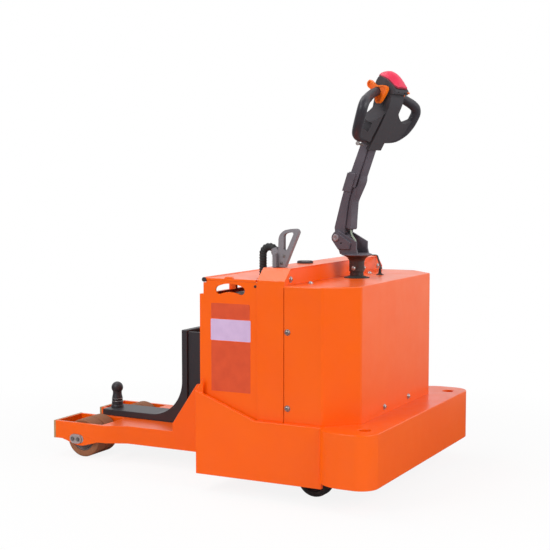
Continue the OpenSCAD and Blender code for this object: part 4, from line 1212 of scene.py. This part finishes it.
@dataclass
class TopFittings:
    """The connector, its handle and lead, and the gauge on the ridge."""

    plug_x: Point2 = (290.0, 301.0)
    plug_y: Point2 = (-351.0, -303.0)
    plug_z: Point2 = (732.0, 780.0)
    ribs: int = 8
    rib_out: float = 1.8
    handle_y: Point2 = (-336.0, -318.0)
    lead_y: float = -327.0
    lead_r: float = 11.8
    bend: Point2 = (267.3, 773.0)
    bend_r: float = 24.0
    lead_foot: float = 634.0
    lead_step: float = 2.2
    gauge: Point3 = (291.3, -117.0, 732.0)
    boot: Point3 = (429.0, 0.0, 680.0)

    def build(self) -> None:
        """Builds every fitting."""
        self.connector()
        self.handle()
        self.lead()
        self.dial()
        profile = [(23.6, 0), (43, 0), (43.4, 0.8), (43, 2), (34, 3.6), (27.5, 6.4), (25, 7), (23.6, 7)]
        boot = Bench.lathe("post_boot", profile, True, 56)
        Bench.set_down(Bench.smooth(boot, 40), Matrix.Translation(Vector(self.boot) * MM))
        settle(boot, LEAD_RUBBER, Body.CHASSIS, "post_collar")

    def connector(self) -> None:
        """Builds the ribbed connector block and the tilted gland on it."""
        (x0, x1), (y0, y1), (z0, z1) = self.plug_x, self.plug_y, self.plug_z
        out = self.rib_out
        foot = [(x0, y0), (x1, y0), (x1, y1), (x0, y1)]
        block = Bench.soften(Bench.prism("plug_block", foot, Axis.Z, z0, z1), 2, 3)
        step = (z1 - z0 - 4) / self.ribs
        ring = [(x0 - out, y0 - out), (x1, y0 - out), (x1, y1 + out), (x0 - out, y1 + out)]
        rib = Bench.soften(Bench.prism("rib", ring, Axis.Z, 0, 0.55 * step), 0.7, 2)
        places = [Matrix.Translation((0, 0, (z0 + 2 + i * step) * MM)) for i in range(self.ribs)]
        piece = Bench.join("plug_block", [block, Bench.repeat("ribs", rib, places)])
        settle(piece, GREY_PLASTIC, Body.CHASSIS, "power_connector")
        profile = [(0, -4), (14.5, -4), (15, -3), (15, 5), (14.4, 6), (13.4, 7), (13.4, 13), (12.6, 14),
                   (0, 14)]
        gland = Bench.lathe("plug_gland", profile, steps=36)
        Bench.set_down(Bench.smooth(gland), Bench.aim((289.5, self.lead_y, z1), (-0.36, 0, 1)))
        settle(gland, GREY_PLASTIC, Body.CHASSIS)

    def handle(self) -> None:
        """Builds the handle that pulls the connector, and the two rivets in its foot."""
        low, high = self.handle_y
        outer = [(301.5, 733), (301.5, 780), (302.5, 822), (305, 832), (310, 840), (318, 847.5), (327, 852),
                 (345, 855.5), (362, 856.5), (369, 854.5), (373, 850), (374, 844), (370, 834), (349, 787),
                 (328.5, 739), (326, 733)]
        inner = [(321, 790), (321, 831), (323, 837), (328, 841), (336, 843), (350, 845), (354, 844),
                 (355.5, 839), (353, 833), (333, 790), (330, 787), (324, 787)]
        piece = Bench.prism("plug_handle", outer, Axis.Y, low, high)
        Bench.cut(piece, Bench.prism("hole", inner, Axis.Y, low - 5, high + 5))
        settle(Bench.soften(piece, 2.4, 4, 32), GREY_PLASTIC, Body.CHASSIS, "connector_handle")
        rivet = ButtonScrew(4.6, 2.2, 5.4, 0.6, 1.8, 1.2)
        places = [Bench.aim((x, low, z), (0, -1, 0)) for x, z in ((323, 769), (315, 746))]
        settle(Bench.repeat("handle_rivet", rivet.master(), places), DULL_STEEL, Body.CHASSIS)

    def lead(self) -> None:
        """Builds the corrugated conduit from the connector into the battery box."""
        x, z = self.bend
        turns = round(math.pi * self.bend_r / self.lead_step)
        drops = round((z - self.lead_foot) / self.lead_step)
        line = [(x + self.bend_r, z - 8), *arc(self.bend, self.bend_r, 0, 180, turns)]
        line += [(x - self.bend_r, z - (z - self.lead_foot) * i / drops) for i in range(1, drops + 1)]
        swell = [(1.07, 1.07, 0.96, 0.9)[i % 4] for i in range(len(line))]
        piece = Bench.tube("lead_conduit", [(a, self.lead_y, b) for a, b in line], self.lead_r, swell, 7)
        settle(Bench.smooth(piece, 50), LEAD_RUBBER, Body.CHASSIS, "battery_lead")

    def dial(self) -> None:
        """Builds the gauge: bezel, and a domed lens over a plain dial."""
        stand = Matrix.Translation(Vector(self.gauge) * MM)
        profile = [(0, 0), (27, 0), (27, 4.5), (26.2, 6.6), (24.4, 8), (22.4, 8), (21.2, 7.2), (20.6, 5.6),
                   (0, 5.6)]
        bezel = Bench.lathe("gauge_bezel", profile, steps=56)
        settle(Bench.set_down(Bench.smooth(bezel, 30), stand), BLACK_PLASTIC, Body.CHASSIS, "charge_gauge")
        profile = [(0, 7.6), (8, 7.4), (15, 6.9), (20.4, 6), (20.4, 5.7), (0, 5.7)]
        lens = Bench.lathe("gauge_lens", profile, steps=56)
        settle(Bench.set_down(Bench.smooth(lens, 30), stand), LENS, Body.CHASSIS)


@dataclass
class Tiller:
    """The steering post, yoke, arm and head, each modelled in its own frame."""

    steer_x: float = 429.0
    steer_turn: float = -11.0
    pivot: Point3 = (-53.0, 0.0, 815.0)
    arm_lean: float = 13.0
    bend_z: float = 200.0
    head_lean: float = 8.5
    head_half: float = 40.0
    cap_half: float = 30.0
    grip_r: float = 16.0
    wing_x: Point2 = (0.0, 58.0)
    core_half: float = 31.0
    plate_half: float = 38.0
    cover_half: float = 20.0
    cap_crown: float = 2.2
    cap_taper: float = 0.35
    cap_taper_x: float = -8.0
    paddle_y: Point2 = (46.0, 61.0)
    paddle_rim: float = 4.4
    paddle_dish: float = 5.0
    cable_r: float = 3.4

    def __post_init__(self) -> None:
        """Works out the frames of the post, the arm and the head."""
        turn = Matrix.Rotation(math.radians(self.steer_turn), 4, "Z")
        self.steer = Matrix.Translation((self.steer_x * MM, 0, 0)) @ turn
        self.arm = self.steer @ Matrix.Translation(Vector(self.pivot) * MM) @ self.lean(self.arm_lean)
        self.head = self.arm @ Matrix.Translation((0, 0, self.bend_z * MM)) @ self.lean(self.head_lean)

    def build(self) -> None:
        """Builds every piece of the tiller."""
        for work in (self.post, self.yoke, self.lower_arm, self.upper_arm, self.arm_cable, self.neck,
                     self.wings, self.head_block, self.button, self.grips, self.paddles):
            work()

    @staticmethod
    def lean(angle: float) -> Matrix:
        """A turn about the Y axis, in degrees."""
        return Matrix.Rotation(math.radians(angle), 4, "Y")

    def post(self) -> None:
        """Builds the post with its clamp, the clamp's slit and its two screws."""
        profile = [(0, 550), (23.2, 550), (23.2, 697), (22.4, 698), (22.4, 700.5), (24.8, 701.2),
                   (25.6, 702.2), (25.6, 735), (27, 740), (32, 748), (44, 755), (0, 755)]
        post = Bench.lathe("steering_post", profile, steps=64)
        Bench.set_down(Bench.smooth(post, 30), self.steer)
        slit = [(437, -34), (450, -34), (450, -20), (437, -20)]
        Bench.cut(post, Bench.prism("slit", slit, Axis.Z, 712.2, 713.8))
        settle(Bench.smooth(post, 30), POST_PAINT, Body.STEER, "steer_post")
        screw = ButtonScrew(6.4, 3.4, 7.4, 0.8, 2.8, 2.2)
        places = [Bench.aim((427.7, -25.6, 713), (-0.04, -1, 0)),
                  Bench.aim((451.8, 11.8, 713), (0.89, 0.46, 0))]
        settle(Bench.repeat("clamp_screws", screw.master(), places), ZINC, Body.STEER)

    def yoke(self) -> None:
        """Builds the disc, and the two cheeks with their pads that hold the tilt pin."""
        profile = [(0, 754.5), (44, 754.5), (52, 757), (52.8, 758.4), (52.4, 760), (40, 764.5), (0, 765)]
        disc = Bench.lathe("disc", profile, steps=72)
        Bench.smooth(disc, 30)
        base = [*arc((-55, 814.5), 23.5, 52, 205, 20), (-49, 772), (-45, 760), (27, 760), (21, 781), (21, 803)]
        cheek = Bench.mirrored(Bench.soften(Bench.prism("cheek", base, Axis.Y, 29, 36.5), 1.2, 3))
        face = [*arc((-57, 814.5), 18.2, 60, 205, 20), (-49.5, 777), (-3, 777.5), (2.5, 799)]
        pad = Bench.prism("pad", face, Axis.Y, 36, 43.5)
        Bench.cut(pad, Bench.prism("hole", arc((-35.5, 796.4), 3.2, 0, 345, 23), Axis.Y, 38, 50))
        Bench.mirrored(Bench.soften(pad, 1.2, 3))
        casting = Bench.join("yoke_casting", [disc, cheek, pad])
        settle(Bench.set_down(casting, self.steer), ARM_PAINT, Body.STEER, "tiller_yoke")
        profile = [(0, 3), (3.6, 3), (4.4, 4.4), (6, 5), (10, 5), (11.6, 3.6), (11.6, 0), (0, 0)]
        cap = Bench.lathe("cap", profile, steps=40)
        places = [Bench.aim((self.pivot[0] - 3, side * 43.4, self.pivot[2]), (0, side, 0)) for side in (-1, 1)]
        caps = Bench.repeat("pivot_caps", Bench.smooth(cap, 30), places)
        settle(Bench.set_down(caps, self.steer), CAP_STEEL, Body.STEER)

    @staticmethod
    def slabs(name: str, layers: list[tuple[Outline, float, float]], width: float) -> Piece:
        """Flat outlines in X and Z, thickened on both sides of the middle and joined.

        Args:
            name: The joined piece's name.
            layers: Each layer's outline, and where its thickness starts and ends; from a negative
                start it crosses the middle, otherwise it is made on both sides.
            width: How wide the rounds are.

        Returns:
            The joined piece in its own frame.
        """
        made = []
        for outline, low, high in layers:
            slab = Bench.soften(Bench.prism("slab", outline, Axis.Y, low, high), width, 3)
            made.append(slab if low < 0 else Bench.mirrored(slab))
        return Bench.join(name, made)

    def lower_arm(self) -> None:
        """Builds the arm below the bend: side plates, core, eye, cover and sleeve."""
        side = [(-14, -10), (-17, 0), (-28, 28), (-23, 119), (-19, 164), (-12, 226), (20, 226), (17, 205),
                (9, 165), (6, 125), (13, 38), (14, 0), (10, -12), (0, -17)]
        core = [(-27, 34), (-22.5, 119), (-18.5, 164), (-11.5, 226), (12, 226), (9, 205), (1, 165), (-2, 125),
                (4, 60), (-6, 34)]
        eye = arc((0, 0), 14, 0, 350, 35)
        piece = self.slabs("arm_frame", [(side, 22, 28), (core, -22, 22), (eye, -22, 22)], 1.6)
        settle(Bench.set_down(piece, self.arm), ARM_PAINT, Body.TILLER, "tiller_arm")
        cover = [(8, 38), (31, 35), (32, 42), (25, 84), (19, 126), (21, 140), (34, 190), (36, 205), (33, 226),
                 (10, 226), (5, 190), (-3, 140), (-3, 125)]
        piece = self.slabs("arm_cover", [(cover, -self.cover_half, self.cover_half)], 2.2)
        settle(Bench.set_down(piece, self.arm), ARM_PAINT, Body.TILLER)
        plate = [(-20, 158), (-12, 222), (18, 226), (9, 160)]
        back = [(-24, 157), (-16, 222), (-10, 222), (-18, 158)]
        piece = self.slabs("arm_sleeve", [(plate, 27.5, 32), (back, -32, 32)], 1.4)
        settle(Bench.set_down(piece, self.arm), ARM_PAINT, Body.TILLER)

    def upper_arm(self) -> None:
        """Builds the arm above the bend, up to the neck."""
        side = [(-11, -20), (24, -20), (24, 142), (-7, 142)]
        core = [(-10.5, -20), (16, -20), (16, 142), (-6.5, 142)]
        piece = self.slabs("upper_arm_frame", [(side, 21.5, 27), (core, -21.5, 21.5)], 1.6)
        settle(Bench.set_down(piece, self.head), ARM_PAINT, Body.TILLER)
        cover = [(12, -24), (33, -14), (30.5, 20), (30, 142), (12, 142)]
        piece = self.slabs("upper_arm_cover", [(cover, -self.cover_half, self.cover_half)], 2.2)
        settle(Bench.set_down(piece, self.head), ARM_PAINT, Body.TILLER)

    def arm_cable(self) -> None:
        """Builds the control cable between the arm's open foot and the yoke."""
        route = flow([(14, 0, 66), (18, 0, 48), (21, 0, 33.6), (27, 1, 17.6), (36, 2, 8), (45, 2, 1),
                      (51, 3, -10), (54, 4, -30)], 6)
        piece = Bench.set_down(Bench.smooth(Bench.tube("arm_cable", route, self.cable_r)), self.arm)
        piece.data.materials.append(CABLE_JACKET.material())
        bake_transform(piece)
        LOG.info("%s bends between %s and %s", piece.name, Body.STEER.value, Body.TILLER.value)

    def neck(self) -> None:
        """Builds the neck's core and the plate in front of it, and the bolt under the near wing."""
        core = [(0, 132), (28, 132), (40, 215), (46, 300), (46, 314), (-20, 314), (-12, 290), (-8, 265),
                (-3, 235), (1, 215)]
        piece = self.slabs("neck_core", [(core, -self.core_half, self.core_half)], 2.5)
        settle(Bench.set_down(piece, self.head), BLACK_PLASTIC, Body.TILLER)
        plate = [(24, 119), (36.5, 119), (40, 140), (46.5, 178), (52.5, 215), (56, 244), (59.5, 276), (60, 294),
                 (54, 322), (38, 322), (40, 296), (33, 215)]
        piece = self.slabs("neck_plate", [(plate, -self.plate_half, self.plate_half)], 1.8)
        settle(Bench.set_down(piece, self.head), BLACK_PLASTIC, Body.TILLER)
        profile = [(0, 0), (6.4, 0), (6.8, 0.6), (6.8, 4.4), (6.2, 5), (3.8, 5.4), (3.8, 34), (3.2, 35),
                   (0, 35)]
        bolt = Bench.lathe("wing_bolt", profile, steps=28)
        place = Bench.aim((20, -90, 137), (0, 0.985, -0.17))
        settle(Bench.set_down(Bench.smooth(bolt, 30), self.head @ place), DULL_STEEL, Body.TILLER)

    def wings(self) -> None:
        """Builds the webs between the neck and the loops, with a groove and a pocket on the near side."""
        outline = [(28, 272), (36, 261), (44, 252), (55, 242), (66, 235), (78, 228.5), (92, 222.6), (104, 221),
                   (118, 223), (132, 228), (146, 234), (153, 222), (150, 209), (140, 190), (126, 174),
                   (108, 164), (88, 157), (60, 150), (28, 146)]
        wing = Bench.prism("head_wings", outline, Axis.X, *self.wing_x)
        side = [(0, 120), (37, 120), (40, 149), (47, 196), (50, 222), (55, 262), (56, 290), (0, 290)]
        Bench.cut(wing, Bench.prism("side", side, Axis.Y, 0, 200), "INTERSECT")
        plan = [(-10, 10), (-10, 70), (10, 84), (27, 104), (33, 165), (80, 165), (80, 10)]
        Bench.cut(wing, Bench.prism("plan", plan, Axis.Z, 100, 320), "INTERSECT")
        Bench.mirrored(wing)
        groove = [(-36, 130), (-52, 130), (-43, 250), (-36, 250)]
        Bench.cut(wing, Bench.prism("groove", groove, Axis.X, 26, 90))
        pocket = [(-88, 217), (-90, 184), (-140, 203), (-139, 225)]
        Bench.cut(wing, Bench.prism("pocket", pocket, Axis.X, 14, 90))
        Bench.soften(wing, 1.8, 3, 30)
        settle(Bench.set_down(wing, self.head), BLACK_PLASTIC, Body.TILLER)

    def head_block(self) -> None:
        """Builds the control block with its slanted back corners and two small holes, and its knob."""
        side = [(60, 321), (66, 324), (66.5, 331), (62, 338.5), (42, 348), (28, 353), (14, 357), (-19, 358),
                (-25, 352), (-29, 341), (-30, 325), (-30, 311), (44, 311), (47, 321)]
        block = Bench.prism("head_block", side, Axis.Y, -self.head_half, self.head_half)
        half = self.head_half
        near = [(72, 6 - half), (64, -half), (18, -half), (-32, -22)]
        plan = [*near, *((x, -y) for x, y in reversed(near))]
        Bench.cut(block, Bench.prism("plan", plan, Axis.Z, 280, 420), "INTERSECT")
        for y, z in ((-20.7, 330), (17, 328.6)):
            Bench.cut(block, Bench.prism("hole", arc((y, z), 3, 0, 345, 23), Axis.X, 58, 80))
        Bench.set_down(Bench.soften(block, 2.4, 4, 25), self.head)
        settle(block, BLACK_PLASTIC, Body.TILLER, "tiller_head")
        profile = [(0, 0), (2.4, 0), (2.4, 3), (3.4, 4), (3.4, 8), (2.6, 9), (0, 9)]
        knob = Bench.lathe("side_knob", profile, steps=24)
        place = Bench.aim((64, 33, 331.6), (1, 0.2, 0))
        settle(Bench.set_down(Bench.smooth(knob, 30), self.head @ place), PADDLE_PLASTIC, Body.TILLER)

    def button(self) -> None:
        """Builds the crowned safety button on a darker base that paints the shade under its rim."""
        settle(self.crowned("reverse_button", 0, 1.6, 2.4), BUTTON_PLASTIC, Body.TILLER, "belly_button")
        # The darker base is painted shade for the shadow gap under the button.
        settle(self.crowned("button_shade_base", 3.2, -0.4, 4), BUTTON_SHADE, Body.TILLER)

    def crowned(self, name: str, sunk: float, inside: float, thick: float) -> Piece:
        """A plate that is crowned along and across, set down on the head.

        Args:
            name: The piece's name.
            sunk: How far it lies below the button's top.
            inside: How far its edge lies inside the button's.
            thick: How thick its edge is.

        Returns:
            The new piece.
        """
        stations = [(-24, 371, 363), (-18, 375, 363), (-10, 379, 362.5), (2, 382.5, 362), (15, 381.5, 361),
                    (22, 380.3, 359), (28, 378.5, 356.5), (35, 375.5, 353.8), (42, 372, 351), (47, 369, 349),
                    (52, 365.5, 349.5), (58, 359, 349), (60.5, 354, 348.5), (62, 350, 348)]
        last = len(stations) - 1
        Bench.clear()
        bpy.ops.mesh.primitive_grid_add(x_subdivisions=last, y_subdivisions=20, size=2)
        piece = bpy.context.object
        piece.name = name
        floor = {}
        for vertex in piece.data.vertices:
            x, top, rim = stations[round((vertex.co.x + 1) / 2 * last)]
            across = vertex.co.y
            half = self.cap_half - inside - max(0.0, self.cap_taper_x - x) * self.cap_taper
            floor[(round(x, 2), round(across * half, 2))] = rim - sunk - thick
            crown = (top - rim) * abs(across) ** self.cap_crown
            vertex.co = Vector((x, across * half, top - sunk - crown)) * MM
        Bench.edit(piece)
        bpy.ops.mesh.select_all(action="SELECT")
        # The skin's copy falls clear of it, so that the height tells their points apart.
        fall, split = 50, 338
        bpy.ops.mesh.extrude_region_move(TRANSFORM_OT_translate={"value": (0, 0, -fall * MM)})
        bpy.ops.object.mode_set(mode="OBJECT")
        for vertex in piece.data.vertices:
            if vertex.co.z < split * MM:
                vertex.co.z = floor[(round(vertex.co.x / MM, 2), round(vertex.co.y / MM, 2))] * MM
        Bench.heal(piece, weld=False, outward=True)
        return Bench.set_down(Bench.soften(piece, 0.9, 3, 50), self.head)

    def grips(self) -> None:
        """Builds the two loops."""
        line = [(9, 28, 318), (8, 56, 312), (10.5, 80, 304.5), (16.5, 103, 296.2), (23.4, 119.5, 291),
                (29.3, 135, 286.4), (35.8, 148, 280.4), (40.6, 156.5, 273), (44, 161, 258.4), (43.5, 158, 237),
                (41.3, 152, 215), (36.7, 141.5, 192.2), (30, 126, 174), (26.5, 108, 164), (24, 88, 159.5),
                (22, 62, 157.5), (20, 30, 157)]
        route = flow(line, 5)
        middle = (len(route) - 1) / 2

        def girth(i: int) -> float:
            """The tube's factor at a point of its route."""
            rising = 0.84 + 0.21 * math.sin(math.pi * i / middle / 2)
            return rising if i < middle else 1.05 - 0.07 * (i / middle - 1)

        swell = [girth(i) for i in range(len(route))]
        loops = Bench.mirrored(Bench.smooth(Bench.tube("grip_loops", route, self.grip_r, swell, 9)))
        settle(Bench.set_down(loops, self.head), GRIP_PLASTIC, Body.TILLER, "head_grips")

    def paddles(self) -> None:
        """Builds the two cupped speed paddles."""
        corners = [(-30, 338.5), (-35, 331.5), (-35, 322.5), (-28, 314.5), (-14, 310.5), (-1, 306), (6, 297),
                   (11, 288), (17, 280), (24, 277), (30, 279), (35, 287), (39, 301), (42, 313.5), (43.5, 324.5),
                   (42.5, 333), (38, 338), (30, 339.5), (22, 338), (12, 333.5), (0, 330), (-12, 332),
                   (-22, 337)]
        rounded = flow([(x, 0, z) for x, z in (*corners, corners[0])], 3)[:-1]
        outline = [(x, z) for x, _, z in rounded]
        piece = Bench.prism("paddles", outline, Axis.Y, *self.paddle_y)
        Bench.pick_faces(piece, lambda middle, normal: normal.y > 0.9)
        bpy.ops.mesh.inset(thickness=self.paddle_rim * MM, depth=0)
        bpy.ops.mesh.extrude_region_move(TRANSFORM_OT_translate={"value": (0, -self.paddle_dish * MM, 0)})
        bpy.ops.object.mode_set(mode="OBJECT")
        Bench.soften(piece, 1.1, 3, 40)
        Bench.mirrored(piece)
        settle(Bench.set_down(piece, self.head), PADDLE_PLASTIC, Body.TILLER, "speed_paddles")


@dataclass
class Studio:
    """The camera, the floor and the light."""

    eye: Point3 = (2037.8, -3720.7, 1014.2)
    target: Point3 = (117.4, 0.0, 677.3)
    lens: float = 78.4
    sensor: float = 36.0
    floor_r: float = 2.0
    floor_fade: float = 0.9
    floor_glow: float = 0.88
    floor_shine: float = 0.1
    sky_diffuse: float = 0.48
    sky_dark: float = 0.06
    sky_low: float = 0.25
    room_y: Point2 = (-0.15, 0.2)
    low_z: Point2 = (-0.19, -0.07)
    lamp_target: Point3 = (100.0, 0.0, 500.0)

    def build(self) -> None:
        """Sets up the whole studio."""
        self.camera()
        self.floor()
        self.world()
        self.lamps()
        bpy.context.scene.view_settings.view_transform = "Standard"

    def camera(self) -> None:
        """Adds the camera at the photograph's point of view."""
        Bench.clear()
        eye = Vector(self.eye) * MM
        bpy.ops.object.camera_add(location=eye, rotation=self.facing(eye, self.target))
        made = bpy.context.object
        made.name = "camera"
        made.data.lens = self.lens
        made.data.sensor_width = self.sensor
        made.data.clip_end = 100
        bpy.context.scene.camera = made

    @staticmethod
    def facing(spot: Vector, target: Point3) -> Euler:
        """The turn of a camera or a lamp that looks from a spot, in metres, at a target."""
        return (Vector(target) * MM - spot).to_track_quat("-Z", "Y").to_euler()

    @staticmethod
    def choose(tree: Tree, share: Socket, first: float | Socket, second: float | Socket) -> Socket:
        """Two values mixed by a share of the second.

        Args:
            tree: The nodes to add to.
            share: How much of the second value counts.
            first: A number or a socket.
            second: A number or a socket.

        Returns:
            The mixed value's socket.
        """
        node = tree.nodes.new("ShaderNodeMix")
        tree.links.new(share, node.inputs["Factor"])
        for socket, given in ((node.inputs[2], first), (node.inputs[3], second)):
            if isinstance(given, (int, float)):
                socket.default_value = given
            else:
                tree.links.new(given, socket)
        return node.outputs[0]

    def floor(self) -> None:
        """Adds the round pale floor, which fades into the white of the backdrop."""
        Bench.clear()
        bpy.ops.mesh.primitive_circle_add(vertices=96, radius=self.floor_r, fill_type="NGON")
        made = bpy.context.object
        made.name = "floor"
        surface = bpy.data.materials.new("pale_floor")
        surface.use_nodes = True
        tree = surface.node_tree
        tree.nodes.remove(tree.nodes["Principled BSDF"])
        matt = tree.nodes.new("ShaderNodeBsdfDiffuse")
        matt.inputs["Color"].default_value = (0.9, 0.9, 0.9, 1)
        white = tree.nodes.new("ShaderNodeEmission")
        path = tree.nodes.new("ShaderNodeLightPath")
        reach = Finish.length(tree, tree.nodes.new("ShaderNodeTexCoord").outputs["Object"])
        glow = Finish.span(tree, reach, self.floor_glow, 1, self.floor_fade, self.floor_r - 0.1)
        share = self.choose(tree, path.outputs["Is Camera Ray"], 0, glow)
        for kind in ("Is Glossy Ray", "Is Transmission Ray"):
            share = self.choose(tree, path.outputs[kind], share, 1)
        strength = self.choose(tree, path.outputs["Is Glossy Ray"], 1, self.floor_shine)
        tree.links.new(strength, white.inputs["Strength"])
        both = tree.nodes.new("ShaderNodeMixShader")
        tree.links.new(share, both.inputs["Fac"])
        tree.links.new(matt.outputs["BSDF"], both.inputs[1])
        tree.links.new(white.outputs["Emission"], both.inputs[2])
        tree.links.new(both.outputs["Shader"], tree.nodes["Material Output"].inputs["Surface"])
        made.data.materials.append(surface)

    def world(self) -> None:
        """Adds a white backdrop, dark only to mirrors that face the camera's side of the room or the floor."""
        world = bpy.data.worlds.new("studio")
        world.use_nodes = True
        bpy.context.scene.world = world
        tree = world.node_tree
        sky = tree.nodes["Background"]
        sky.inputs["Color"].default_value = (1, 1, 1, 1)
        split = tree.nodes.new("ShaderNodeSeparateXYZ")
        tree.links.new(tree.nodes.new("ShaderNodeTexCoord").outputs["Generated"], split.inputs["Vector"])
        room = Finish.span(tree, split.outputs["Y"], self.sky_dark, 1, *self.room_y)
        low = Finish.span(tree, split.outputs["Z"], self.sky_low, 1, *self.low_z)
        both = Finish.times(tree, room, low)
        path = tree.nodes.new("ShaderNodeLightPath")
        strength = self.choose(tree, path.outputs["Is Glossy Ray"], self.sky_diffuse, both)
        for kind in ("Is Camera Ray", "Is Transmission Ray"):
            strength = self.choose(tree, path.outputs[kind], strength, 1)
        tree.links.new(strength, sky.inputs["Strength"])

    def lamps(self) -> None:
        """Adds the soft lamps."""
        for name, place, size, power in (
                ("key_lamp", (-1400, -4200, 3000), 2.6, 92), ("top_lamp", (-1250, -200, 3800), 2.0, 34),
                ("side_lamp", (4200, -900, 2600), 2.6, 80)):
            Bench.clear()
            spot = Vector(place) * MM
            turn = self.facing(spot, self.lamp_target)
            bpy.ops.object.light_add(type="AREA", location=spot, rotation=turn)
            lamp = bpy.context.object
            lamp.name = name
            lamp.data.shape = "DISK"
            lamp.data.size = size
            lamp.data.energy = power


def main() -> None:
    """Builds the tractor's looks and the studio."""
    logging.basicConfig(level=logging.INFO, format="%(name)s: %(message)s")
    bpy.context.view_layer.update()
    Studio().build()
    for part in (Shell(), TowEnd(), Undercarriage(), TopFittings(), Tiller()):
        LOG.info("building %s", type(part).__name__)
        part.build()


if __name__ == "__main__":
    main()
